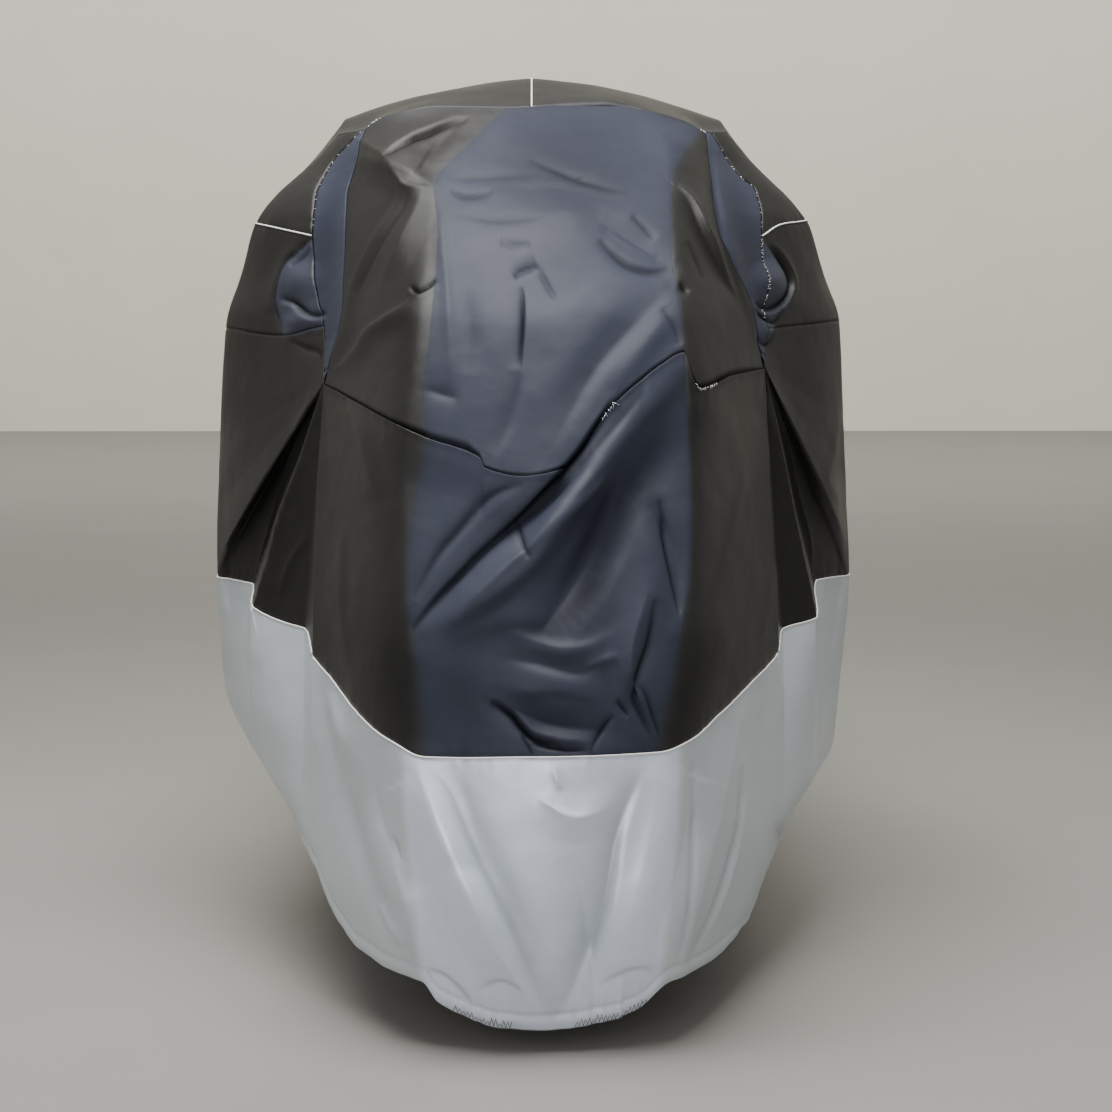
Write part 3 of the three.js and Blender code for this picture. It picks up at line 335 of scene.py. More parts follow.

# Painted soft broad shade, in the lee of folds and over the upper front: how dark, half-width to the left and
# to the right, path in (x, z)
SHADES = [
    (0.6, 40, 22, [(198, 800), (163, 742), (116, 673), (80, 604), (62, 540)]),
    (0.5, 22, 13, [(80, 575), (20, 525), (-42, 520), (-95, 500)]),
    (0.3, 40, 40, [(-110, 480), (-90, 430), (-60, 385)]),
    (0.42, 130, 110, [(-60, 1150), (60, 1130), (170, 1130)]),
    (0.2, 26, 26, [(-210, 1080), (-225, 1010), (-235, 950)]),
    (0.5, 10, 30, [(-150, 1085), (-150, 1020), (-156, 940), (-160, 870)]),
    (0.35, 40, 40, [(-210, 520), (-190, 450), (-170, 395)]),
    (0.35, 40, 40, [(250, 520), (225, 450), (200, 395)]),
    (0.3, 24, 24, [(-278, 1140), (-298, 1060), (-300, 960), (-302, 880)]),
    (0.3, 26, 26, [(285, 1150), (305, 1060), (325, 960), (335, 880)]),
    (0.22, 26, 12, [(-139, 351), (-106, 315), (-74, 241), (-29, 152), (20, 26)]),
    (0.22, 12, 26, [(139, 340), (110, 265), (94, 177), (67, 97), (35, 26)]),
    (0.05, 60, 60, [(8, 300), (12, 200), (14, 120)]),
    (0.12, 18, 18, [(-250, 370), (-225, 250), (-190, 160)]),
    (0.12, 18, 18, [(262, 340), (240, 230), (205, 120)]),
]

# Rounded bulges: centre x, z, half-width, half-height, how far out
BULGES = [
    (350, 962, 40, 40, 12),
    (345, 893, 22, 26, 6),
    (-345, 965, 44, 40, 9),
    (-340, 905, 36, 22, 6),
]

# Where the blue lining of the pockets shows, as outlines in (x, z), and how far
# the blue and black cloths shade into one another at their seams
LININGS = [
    [(-322, 1030), (-333, 1023), (-352, 1010), (-370, 990), (-381, 962), (-386, 932), (-380, 905),
     (-370, 886), (-342, 886), (-300, 897), (-300, 940), (-314, 985)],
    [(325, 880), (338, 870), (353, 880), (362, 903), (380, 932), (387, 958), (379, 982), (365, 1003),
     (351, 1018), (333, 1026), (322, 1000)],
]
LINING_SOFT = 3
SHADE_REACH = 10
SHADE_SHARE = 0.35


# Plain curves and surfaces


def mix(a, b, t):
    return a + (b - a) * t


def smooth(t):
    c = np.clip(t, 0, 1)
    return c * c * (3 - 2 * c)


def bell(t):
    return np.exp(-(t * t))


def unit(v):
    return v / np.maximum(np.linalg.norm(v, axis=-1, keepdims=True), 1e-9)


def look_up(pairs, x):
    """Straight interpolation in a list of (x, value)."""
    return np.interp(x, *np.transpose(pairs))


def hermite(a, b, slope_a, slope_b, t):
    t2, t3 = t**2, t**3
    from_b = 3 * t2 - 2 * t3
    return a * (1 - from_b) + slope_a * (t3 - 2 * t2 + t) + b * from_b + slope_b * (t3 - t2)


def pchip(xs, ys, x):
    """Smooth interpolation through rising xs, without overshoot."""
    xs, ys = np.asarray(xs, float), np.asarray(ys, float)
    x = np.clip(np.asarray(x, float), xs[0], xs[-1])
    step = np.diff(xs)
    slope = np.diff(ys) / step
    product, total = slope[:-1] * slope[1:], slope[:-1] + slope[1:]
    between = np.where(product > 0, 2 * product / np.where(product > 0, total, 1), 0)
    tangent = np.array([slope[0], *between, slope[-1]])
    i = np.clip(np.searchsorted(xs, x, "right") - 1, 0, len(xs) - 2)
    return hermite(ys[i], ys[i + 1], tangent[i] * step[i], tangent[i + 1] * step[i], (x - xs[i]) / step[i])


def across_line(line, axis, value):
    """The other coordinate of a line of (x, z), where the one on an axis has a value."""
    line = np.asarray(line, float)
    rising = line if line[-1, axis] > line[0, axis] else line[::-1]
    return pchip(rising[:, axis], rising[:, 1 - axis], value)


def on_line(line, share):
    """Points of a line of (x, z) at a share of its height."""
    z = mix(line[0][1], line[-1][1], share)
    return np.stack([across_line(line, 1, z), z], -1)


def height_on(line, x):
    return across_line(line, 0, x)


def level(name, z):
    return pchip(LEVELS["z"], LEVELS[name], z)


def bar_x(x, z):
    return np.where(x < 0, level("barL", z), level("barR", z))


def front_y(x, z):
    """How far forward the plain front stands at x, z."""
    bar = bar_x(x, z)
    share = np.minimum(np.abs(x) / bar, 1)
    off = np.abs(x - level("lean", z) * (1 - share * share))
    names = ("nose", "edgeX", "edgeY", "cheekX", "cheekY", "barY")
    nose, edge_x, edge_y, cheek_x, cheek_y, bar_y = (level(name, z) for name in names)
    run, rest = cheek_x - edge_x, bar - cheek_x
    to_edge, to_cheek, to_bar = (edge_y - nose) / edge_x, (cheek_y - edge_y) / run, (bar_y - cheek_y) / rest
    at_edge = 2 * to_edge * to_cheek / (to_edge + to_cheek)
    at_cheek = 2 * to_cheek * to_bar / (to_cheek + to_bar)
    middle = hermite(nose, edge_y, 0, at_edge * edge_x, off / edge_x)
    flank = hermite(edge_y, cheek_y, at_edge * run, at_cheek * run, (off - edge_x) / run)
    past = np.minimum((off - cheek_x) / rest, 1)
    outer = hermite(cheek_y, bar_y, at_cheek * rest, to_bar * BAR_TURN * rest, past)
    return np.where(off < edge_x, middle, np.where(off < cheek_x, flank, outer))


def pleat_foot(side, x, z):
    """Where the line from the gather through each point comes down to the feet of the pleats."""
    gather_x, gather_z, foot_z = side["gather"]
    drop = np.maximum(gather_z - z, 1e-6)
    full = gather_z - foot_z
    return np.where(z > foot_z, gather_x + (x - gather_x) * full / drop, x), drop, full


def pleat_height(side, x, z):
    """Height of the pleats that fan out below one gather."""
    _, gather_z, foot_z = side["gather"]
    foot, drop, full = pleat_foot(side, x, z)
    grow = np.minimum(drop / full, 1) ** PLEAT_GROWTH
    fade = 1 - smooth(np.maximum(foot_z - z, 0) / (foot_z - PLEAT_END))
    return np.where(z < gather_z, look_up(side["pleats"], foot) * grow * fade, 0)


def curve(points, per=5):
    """A smooth line through a few points."""
    p = np.asarray(points, float)
    if len(p) < 3:
        return p
    p = np.vstack([2 * p[0] - p[1], p, 2 * p[-1] - p[-2]])
    t = np.arange(per)[:, None] / per
    parts = [0.5 * (2 * b + (c - a) * t + (2 * a - 5 * b + 4 * c - d) * t**2 + (3 * b - a - 3 * c + d) * t**3)
             for a, b, c, d in zip(p, p[1:], p[2:], p[3:])]
    return np.vstack([*parts, p[-2]])


def near(path, x, z):
    """Distance of points from a path, positive to its left, and how far along it they lie."""
    best, signed, along = np.full(x.shape, np.inf), np.zeros(x.shape), np.zeros(x.shape)
    length = np.hypot(*np.diff(path, axis=0).T)
    start = np.concatenate([[0], np.cumsum(length)])
    for (ax, az), (bx, bz), size, before in zip(path, path[1:], length, start):
        way_x, way_z = (bx - ax) / size, (bz - az) / size
        run = np.clip((x - ax) * way_x + (z - az) * way_z, 0, size)
        dx, dz = x - ax - way_x * run, z - az - way_z * run
        gap = np.hypot(dx, dz)
        closer = gap < best
        best = np.where(closer, gap, best)
        signed = np.where(closer, np.where(way_x * dz - way_z * dx > 0, gap, -gap), signed)
        along = np.where(closer, (before + run) / start[-1], along)
    return signed, along


def mark(total, x, z, path, reach, profile):
    """Adds profile(distance, along) to total, near one path only."""
    path = curve(path)
    low, high = path.min(0) - reach, path.max(0) + reach
    inside = (x > low[0]) & (x < high[0]) & (z > low[1]) & (z < high[1])
    if inside.any():
        total[inside] += profile(*near(path, x[inside], z[inside]))


def broad_folds(x, z):
    total = np.zeros(x.shape)
    for height, width, path in FOLDS:
        def profile(gap, along):
            crisp = np.maximum(1 - np.abs(gap) / width, 0) ** FOLD_CRISPNESS
            return height * mix(FOLD_ENDS, 1, np.sin(np.pi * along)) * crisp
        mark(total, x, z, path, width, profile)
    return total


def creases(x, z):
    total = np.zeros(x.shape)
    for height, left, right, shift, _, path in CREASES:
        widest = max(left, right)
        round_share = smooth((widest - CREASE_ROUND) / CREASE_ROUND)

        def profile(gap, along):
            gap = gap - shift
            fade = mix(CREASE_ENDS, 1, np.sin(np.pi * along) ** mix(*CREASE_FADE, round_share))
            sharp = mix(CREASE_SHARPNESS, 2, round_share)
            return height * fade * np.exp(-((np.abs(gap) / np.where(gap > 0, left, right)) ** sharp))
        mark(total, x, z, path, 3 * widest + abs(shift), profile)
    for bulge_x, bulge_z, half_x, half_z, height in BULGES:
        total += height * (1 - smooth(np.hypot((x - bulge_x) / half_x, (z - bulge_z) / half_z)))
    return total


def depths(x, z):
    """Painted shade, from 0 to 1: how dark the cloth is made in the depth of its creases and pleats and under
    the soft broad shades.
    """
    total = np.zeros(x.shape)
    for _, left, right, shift, dark, path in CREASES:
        def profile(gap, along):
            width = DARK_WIDTH + DARK_SHARE * np.where(gap > 0, left, right)
            return dark * np.sin(np.pi * np.clip(along, 0.04, 0.96)) ** 0.5 * bell((gap - shift) / width)
        if dark:
            mark(total, x, z, path, 3 * max(left, right), profile)
    for dark, left, right, path in SHADES:
        def profile(gap, along):
            ends = np.sin(np.pi * np.clip(0.5 + (along - 0.5) * 0.9, 0, 1)) ** 0.5
            return dark * ends * bell(gap / np.where(gap > 0, left, right))
        mark(total, x, z, path, 2.2 * max(left, right), profile)
    for side in SIDES:
        foot, drop, _ = pleat_foot(side, x, z)
        on_cloth = (x * side["sign"] > 0) & (z < side["gather"][1]) & (z > height_on(SKIRT_SEAM, x) + 1)
        total += np.where(on_cloth, look_up(side["pleat_shade"], foot) * smooth(drop / PLEAT_SHADE_START), 0)
    return np.clip(total, 0, 1)


def lining(x, z):
    """Where the blue lining shows beside the gathered seams."""
    total = np.zeros(x.shape)
    for outline in LININGS:
        closed = np.array([*outline, outline[0]], float)
        inside = np.zeros(x.shape, bool)
        for (ax, az), (bx, bz) in zip(closed, closed[1:]):
            crossed = (az > z) != (bz > z)
            inside ^= crossed & (x < (bx - ax) * (z - az) / (bz - az + (bz == az)) + ax)
        gap = np.abs(near(closed, x, z)[0])
        total = np.maximum(total, smooth(0.5 + np.where(inside, gap, -gap) / (2 * LINING_SOFT)))
    return total


def front(x, z):
    """A point of the front, with its pleats and folds pushed out towards the viewer."""
    x, z = np.broadcast_arrays(np.asarray(x, float), np.asarray(z, float))
    height = broad_folds(x, z)
    for side in SIDES:
        height += np.where(x * side["sign"] > 0, pleat_height(side, x, z), 0)
    rim = 1 - smooth((np.abs(x) - (bar_x(x, z) - RIM_FADE)) / RIM_FADE)
    return np.stack([x, front_y(x, z) - height * rim, z], -1)


def from_seam_end(x):
    return np.minimum(x - CROSS_SEAM[0][0], CROSS_SEAM[-1][0] - x)


def lapped(x, z):
    """The lower cloth stands proud along the cross seam."""
    point = front(x, z)
    below = height_on(CROSS_SEAM, x) - z
    point[..., 1] -= LAP_LIFT * smooth(from_seam_end(x) / LAP_END) * (1 - smooth(below / LAP_REACH))
    return point


def tucked(x, z):
    """The upper cloth tucks in behind it."""
    drop = LAP_TUCK * smooth((from_seam_end(x) - TUCK_START) / LAP_END)
    above = z - height_on(CROSS_SEAM, x)
    return front(x, z - drop * (1 - smooth(above / LAP_REACH)))


# The length behind the widest line


def station(name, s):
    return pchip(np.arange(LAST_STATION + 1), STATIONS[name], s)


def side_line(side, q):
    """Height on the widest line where the rail number q lies."""
    return np.interp(q, np.arange(SHOULDER_RAIL + 1), side["rail_heights"])


def on_bar(side, z):
    return np.stack([side["sign"] * level(side["bar"], z), level("barY", z), z], -1)


def section(side, s, q):
    """The plain section: q runs from the hem over the rails to the ridge, s along the stations."""
    y, ridge_y, ridge_z = (station(name, s) for name in ("y", "ridgeY", "ridgeZ"))
    heights, widths = (np.array([station(rail + axis, s) for rail in RAILS]) for axis in "ZX")
    x, z = np.empty((2, *q.shape))
    for i in range(q.shape[1]):
        z[:, i] = np.interp(q[:, i], np.arange(SHOULDER_RAIL + 1), heights[:, i])
        x[:, i] = pchip(heights[:, i], widths[:, i], z[:, i])
    t = np.clip(1 - (q - SHOULDER_RAIL), 0, 1)
    over = q > SHOULDER_RAIL
    z = np.where(over, ridge_z - (ridge_z - heights[SHOULDER_RAIL]) * t**CROWN_POWER, z)
    x = np.where(over, widths[SHOULDER_RAIL] * t, x)
    crown_share = smooth((q - MIRROR_RAIL) / CROWN_RAILS)
    return np.stack([side["sign"] * x, y + (ridge_y - y) * crown_share, z], -1)


def front_edge(side, q):
    """The front edge of everything behind: the widest line, then the brow."""
    x = side["shoulder_end"][0] * np.clip(1 - (q - SHOULDER_RAIL), 0, 1)
    on_brow = front(x, height_on(BROW, x))
    return np.where((q <= SHOULDER_RAIL)[..., None], on_bar(side, side_line(side, q)), on_brow)


def fold_rail(s, q):
    """The rails as the folds meet them: behind the pocket its two seams run as one."""
    above = GRIP_RAIL + 2 * np.maximum(q - MIRROR_RAIL, 0)
    closed = np.where(q < GRIP_RAIL, q, above)
    return mix(q, closed, smooth(s - 1))


def rear_folds(side, point, s, q):
    height = np.zeros(q.shape)
    for fold_y, fold_z, slope, tall, width in REAR_FOLDS:
        centre = fold_y + (fold_z - point[..., 2]) * slope + side["sign"] * REAR_SHIFT
        height += tall * (1 - smooth(np.abs(point[..., 1] - centre) / width))
    low = mix(REAR_FADE["hem"], 1, smooth(q / REAR_FADE["hem_rails"]))
    high = 1 - smooth((fold_rail(s, q) - REAR_FADE["top_start"]) / REAR_FADE["top_rails"])
    ends = smooth(s / REAR_FADE["end"]) * (1 - smooth((s - REAR_FADE["last_start"]) / REAR_FADE["end"]))
    return height * low * high * ends


def rear(side, s, q):
    """Points of the sides and back, for a row of stations s and a grid of rails q."""
    q = np.broadcast_to(q, (len(q), len(s))).astype(float)
    point = section(side, s, q)
    start = section(side, np.zeros(len(s)), q)
    point += (front_edge(side, q) - start) * (1 - smooth(s))[None, :, None]
    point[..., 0] += side["sign"] * rear_folds(side, point, s, q)
    point[:, s >= LAST_STATION, 0] = 0
    return point


def edge_rail(s):
    """The rail that the upper edge of the pocket runs on, down to its point."""
    return MIRROR_RAIL - smooth((s - POCKET_END + POCKET_RUN_OUT) / POCKET_RUN_OUT)


# How finely each panel is divided, with closer steps next to its seams
CLOSE_STEPS = (-1.5, -0.75, -0.5, -0.25, 0.25, 0.5, 0.75, 1.5)


def fine(count, seams):
    steps = np.arange(count * PER_STEP + 1) / PER_STEP
    close = [seam + k / PER_STEP for seam in seams for k in CLOSE_STEPS]
    return np.unique(np.round([v for v in [*steps, *close] if 0 <= v <= count], 5))


MIRROR_ROW = SHOULDER_ROWS
GRIP_ROW = SHOULDER_ROWS + POCKET_ROWS
CROSS_ROW = GRIP_ROW + STEP_ROWS
STEP_COLUMN = CHEEK_COLUMNS + STEP_ROWS
SIDE_COLUMNS = STEP_COLUMN + POCKET_COLUMNS
UPPER = fine(CROSS_ROW, [0, MIRROR_ROW, GRIP_ROW, CROSS_ROW])
HALF = fine(HALF_FRONT_COLUMNS, [0])
CHEEK = fine(CHEEK_COLUMNS, [0, CHEEK_COLUMNS])
GUSSET = fine(GUSSET_COLUMNS, [0, GUSSET_COLUMNS])
SHOULDER = fine(SHOULDER_COLUMNS, [0])
LOWER = fine(SIDE_ROWS, [0, SIDE_ROWS]) / SIDE_ROWS
SKIRT = (fine(SKIRT_ROWS, [0, SKIRT_ROWS]) / SKIRT_ROWS)[:, None]
ACROSS = fine(SIDE_COLUMNS, [0, CHEEK_COLUMNS, STEP_COLUMN])
COUNT = len(REAR_STEPS) - 1
STEPS = np.interp(np.arange(COUNT * PER_REAR_STEP + 1) / PER_REAR_STEP, np.arange(COUNT + 1), REAR_STEPS)
BACK_SIDE = fine(SHOULDER_ROWS, [SHOULDER_ROWS])[1:]
BEHIND = STEPS[1:]
POCKET_STEPS = int((BEHIND <= POCKET_END).sum())


def prepare(side):
    outer = 0 if side["sign"] < 0 else -1
    top = side["shoulder_top"]
    side["rail_heights"] = [HEM[outer][1], SKIRT_SEAM[outer][1], side["grip_seam"][-1][1],
                            side["mirror_seam"][-1][1], top]
    side["shoulder_end"] = (side["sign"] * float(level(side["bar"], top)), top)
    line = side["gusset_outer"]
    run = line[0][1] - line[-1][1]
    mirror, grip = ((line[0][1] - side[seam][0][1]) / run for seam in ("mirror_seam", "grip_seam"))
    side["rows"] = lambda k: np.interp(k, [0, MIRROR_ROW, GRIP_ROW, CROSS_ROW], [0, mirror, grip, 1])


def bow(line, start, end, t):
    """How far a seam bows off the straight line between two of its points."""
    return height_on(line, mix(start[0], end[0], t)) - mix(start[1], end[1], t)


def between(inner, outer, rows, t):
    """x and z of a patch whose columns run between two upright lines."""
    a, b = (on_line(line, rows)[:, None] for line in (inner, outer))
    return np.moveaxis(mix(a, b, t[:, None]), -1, 0)


def bounded(top, bottom, inner, outer, rows, t, place):
    """Such a patch, whose rows follow two curved seams as well."""
    x, z = between(inner, outer, rows, t)
    bows = bow(top, inner[0], outer[0], t), bow(bottom, inner[-1], outer[-1], t)
    return place(x, z + mix(*bows, rows[:, None]))


def joined(left_half, right_half):
    return np.concatenate([left_half, right_half[:, 1:]], axis=1)


def front_panel(edge, seams, rows, place):
    """A panel of the front, as two halves that meet on the middle line."""
    top, bottom = (line for _, line in seams)
    middle = [(MIDDLE[name], float(height_on(line, MIDDLE[name]))) for name, line in seams]
    t = HALF / HALF_FRONT_COLUMNS
    a = bounded(top, bottom, LEFT[edge], middle, rows(LEFT), t, place)
    b = bounded(top, bottom, middle, RIGHT[edge], rows(RIGHT), 1 - t[::-1], place)
    b += (a[:, -1:] - b[:, :1]) * smooth(t)[None, ::-1, None]
    return joined(a, b)


def upper_rows(side):
    return side["rows"](UPPER)


def cheek(side):
    t = CHEEK / CHEEK_COLUMNS
    return bounded(BROW, CROSS_SEAM, side["edge_upper"], side["gusset_inner"], upper_rows(side), t, tucked)


def gusset(side):
    t = GUSSET / GUSSET_COLUMNS
    return tucked(*between(side["gusset_inner"], side["gusset_outer"], upper_rows(side), t))


def outward(side, k, top, bottom, u):
    """Between the ragged seam and the widest line."""
    start = on_line(side["gusset_outer"], side["rows"](k))[:, None, :]
    t = ((k - k[0]) / (k[-1] - k[0]))[:, None]
    edge_z = mix(top[-1][1], bottom[-1][1], t)
    edge_x = side["sign"] * level(side["bar"], edge_z)
    bows = (bow(line, line[0], line[-1], u) for line in (top, bottom))
    grid = tucked(mix(start[..., 0], edge_x, u), mix(start[..., 1], edge_z, u) + mix(*bows, t))
    grid[:, -1] = on_bar(side, edge_z[:, 0])
    return grid


def shoulder(side):
    top = [side["gusset_outer"][0], side["shoulder_end"]]
    return outward(side, UPPER[UPPER <= MIRROR_ROW], top, side["mirror_seam"], SHOULDER / SHOULDER_COLUMNS)


def pocket(side):
    k = UPPER[(UPPER >= MIRROR_ROW) & (UPPER <= GRIP_ROW)]
    u = (ACROSS[ACROSS >= STEP_COLUMN] - STEP_COLUMN) / POCKET_COLUMNS
    ahead = outward(side, k, side["mirror_seam"], side["grip_seam"], u)
    s = BEHIND[BEHIND <= POCKET_END]
    t = ((k - MIRROR_ROW) / POCKET_ROWS)[:, None]
    return np.concatenate([ahead, rear(side, s, mix(edge_rail(s), GRIP_RAIL, t))], axis=1)


def side_tops(side, c):
    """Where the columns of a side panel start: cross seam, ragged seam, pocket seam."""
    start_x, end_x = side["edge_lower"][0][0], side["gusset_inner"][-1][0]
    cross_x = mix(start_x, end_x, np.clip(c / CHEEK_COLUMNS, 0, 1))
    k = np.clip(CROSS_ROW - (c - CHEEK_COLUMNS), GRIP_ROW, CROSS_ROW)
    step = on_line(side["gusset_outer"], side["rows"](k))
    seam = side["grip_seam"]
    grip_x = mix(seam[0][0], seam[-1][0], np.clip((c - STEP_COLUMN) / POCKET_COLUMNS, 0, 1))
    cross, grip = (
        np.stack([x, height_on(line, x)], -1) for x, line in ((cross_x, CROSS_SEAM), (grip_x, seam))
    )
    return np.where((c <= CHEEK_COLUMNS)[:, None], cross, np.where((c <= STEP_COLUMN)[:, None], step, grip))


def side_panel(side):
    t = LOWER[:, None]
    top = side_tops(side, ACROSS)
    foot_x = np.interp(ACROSS, np.arange(SIDE_COLUMNS + 1), side["pleat_feet"])
    x = mix(top[:, 0], foot_x, t)
    z = mix(top[:, 1], height_on(SKIRT_SEAM, foot_x), t)
    edge = on_line(side["edge_lower"], LOWER)[:, None, :]
    near_edge = np.clip(1 - ACROSS, 0, 1)
    x = x + (edge[..., 0] - x[:, :1]) * near_edge
    z = z + (edge[..., 1] - z[:, :1]) * near_edge
    bar_z = mix(side["rail_heights"][GRIP_RAIL], side["rail_heights"][SEAM_RAIL], t)
    ahead = lapped(x, mix(z, bar_z, smooth(ACROSS - (SIDE_COLUMNS - 1))))
    ahead[:, -1] = on_bar(side, bar_z[:, 0])
    return np.concatenate([ahead, rear(side, BEHIND, GRIP_RAIL - t)], axis=1)


def hanging(top_x, hem_x):
    """The skirt between its seam and its hem."""
    z = mix(height_on(SKIRT_SEAM, top_x), height_on(HEM, hem_x), SKIRT)
    return front(mix(top_x, hem_x, SKIRT), z)


def skirt_patch(side, c):
    numbers = np.arange(SIDE_COLUMNS + 1)
    return hanging(*(np.interp(c, numbers, side[ends]) for ends in ("pleat_feet", "pleat_hems")))


def skirt_front():
    u = 1 - HALF[::-1] / HALF_FRONT_COLUMNS
    parts = []
    for side in SIDES:
        ends = (("skirt", "pleat_feet"), ("hem", "pleat_hems"))
        half = hanging(*(mix(MIDDLE[line], side[end][0], u) for line, end in ends))
        patch = skirt_patch(side, ACROSS[(ACROSS > 0) & (ACROSS <= CHEEK_COLUMNS)])
        parts.append(np.concatenate([half, patch], axis=1))
    return joined(parts[0][:, ::-1], parts[1])


def skirt_side(side):
    ahead = skirt_patch(side, ACROSS[ACROSS >= CHEEK_COLUMNS])
    hem_z, seam_z = side["rail_heights"][: SEAM_RAIL + 1]
    ahead[:, -1] = on_bar(side, mix(seam_z, hem_z, SKIRT[:, 0]))
    return np.concatenate([ahead, rear(side, BEHIND, SEAM_RAIL - SKIRT)], axis=1)


def back_panel(side):
    end_x = side["shoulder_end"][0]
    stops = [0, *(side[line][0][0] for line in ("edge_upper", "gusset_inner", "gusset_outer")), end_x]
    ends = np.cumsum([0, HALF_FRONT_COLUMNS, CHEEK_COLUMNS, GUSSET_COLUMNS, SHOULDER_COLUMNS])
    j = fine(int(ends[-1]), ends[:-1])
    start = SHOULDER_RAIL + 1 - np.abs(np.interp(j, ends, stops) / end_x)
    even = SHOULDER_RAIL + 1 - j / ends[-1]
    crown = mix(start[:, None], even[:, None], smooth(STEPS / EVEN_OUT)[None, :])
    t = (BACK_SIDE / SHOULDER_ROWS)[:, None]
    to_pocket = smooth((t - BACK_RUN_IN) / (1 - BACK_RUN_IN))
    lower = mix(SHOULDER_RAIL, MIRROR_RAIL, t) - (MIRROR_RAIL - edge_rail(STEPS)) * to_pocket
    return rear(side, STEPS, np.concatenate([crown, lower]))


def noise(points, size, seed):
    """Smooth random values from -1 to 1 in space, always the same for one seed."""
    at = np.asarray(points, float) / size
    cell = np.floor(at).astype(np.int64)
    t = smooth(at - cell)
    total = np.zeros(at.shape[:-1])
    for corner in np.ndindex(2, 2, 2):
        n = (cell + corner) @ np.array([73856093, 19349663, 83492791]) + seed * 2654435
        n = ((n ^ (n >> 13)) * 1274126177) & 0xFFFFFFFF
        n = ((n ^ (n >> 16)) * 668265263) & 0xFFFFFFFF
        total += np.prod(np.where(corner, t, 1 - t), axis=-1) * ((n >> 8) / 2**23 - 1)
    return total


# What each kind of seam does to the cloth beside it: depth and half-width of the
# groove, height of the puckers and how far they reach
KINDS = {
    "seam": (1.2, 2.5, 0.3, 14),
    "soft": (0, 3, 0.15, 14),
    "ragged": (1.8, 2.5, 0.8, 16),
    "piped": (0.8, 4, 0.8, 16),
    "lip": (-1.2, 6, 1.2, 20),
    "tuck": (0, 5, 0.4, 26),
    "join": (0, 4, 0.2, 12),
    "hem": (0, 5, 0, 10),
    "none": (0, 5, 0, 10),
}
# How far the painted shadow in the gap over the cross seam reaches, by x
SEAM_GAPS = [(-330, 3), (-190, 5), (-155, 9), (-85, 11), (-66, 4), (40, 4), (100, 7), (205, 5), (225, 9),
             (300, 8), (340, 3)]
# How dark the painted shade in the groove of a seam is, and its half-width
SEAM_LINES = {"seam": (0.8, 1.3), "ragged": (1, 1.8)}
PUCKER_STEPS = (10, 32)
PUCKER_SEED = 51
# Crumples of the whole cloth, from their first seed on: size and height
CRUMPLES = [(120, 2.0), (48, 0.9), (22, 0.3)]
CRUMPLE_SEED = 40
# Where the hem is gathered most: centre and half-width in x, then the size of the gathers
HEM_GATHERS = [(-68, 36), (90, 38)]
GATHER_STEP = 7
GATHER_SEED = 31
GATHERED_AHEAD_OF = -600
# The channel along the hem and the groove above it: height, place above the edge, half-width
HEM_CHANNEL = (1.3, 11, 7)
HEM_GROOVE = (-1.6, 22, 2.4)
# How far the cloth rolls in at the edge and over what height; the slow wave; where the gathers fade
HEM_ROLL = (1.5, 2.5)
HEM_WAVE = 2.2
HEM_FADE = 26
# Where the front of the skirt turns to its sides, which are painted duller and greener as shade and side
# light, by (x, z)
TONE_EDGES = [[(-144, 50), (-168, 360)], [(165, 50), (192, 360)]]
TONE_BLEND = 16
# How near the widest line the creases end, and how far past the brow they reach
CREASE_RIM = 14
BROW_REACH = 70
# Rows of the grid that the cloth turned round a free edge lies behind, and how far round it goes
FOLD_ROWS = [1, 3, 7]
FOLD_ROUND = 0.25


def lengths(grid, axis):
    """Length along the cloth from the first row, or from the first column."""
    steps = np.linalg.norm(np.diff(grid, axis=axis), axis=-1)
    return np.insert(np.cumsum(steps, axis=axis), 0, 0, axis=axis)


def gaps_of(grid):
    """Every point's distance along the cloth from the top, bottom, first and last edge."""
    down, along = lengths(grid, 0), lengths(grid, 1)
    return down, down[-1] - down, along, along[:, -1:] - along


def beside(gap, kind, edge):
    """Groove and puckers next to one edge."""
    depth, width, height, reach = np.array([KINDS[label] for label in np.atleast_1d(kind)], float).T
    fine_size, broad_size = PUCKER_STEPS
    ripple = noise(edge, fine_size, PUCKER_SEED) + 0.8 * noise(edge, broad_size, PUCKER_SEED + 1)
    return height * ripple * np.exp(-gap / reach) - depth * bell(gap / width)


def hem_shape(up, edge):
    """The gathered channel of the hem, by height above its edge. The feet of the gussets have it too."""
    shape = sum(height * bell((up - place) / half) for height, place, half in (HEM_CHANNEL, HEM_GROOVE))
    shape = shape - HEM_ROLL[0] * (1 - smooth(up / HEM_ROLL[1]))
    strength = 0.5 + sum(2 * np.exp(-(((edge[:, 0] - centre) / half) ** 4)) for centre, half in HEM_GATHERS)
    ripple = noise(edge, GATHER_STEP, GATHER_SEED) * strength * (edge[:, 1] < GATHERED_AHEAD_OF)
    wave = HEM_WAVE * noise(edge, 6 * GATHER_STEP, GATHER_SEED + 1)
    return shape + (ripple + wave) * np.where(up < HEM_FADE, 1, np.exp(-(up - HEM_FADE) / HEM_FADE))


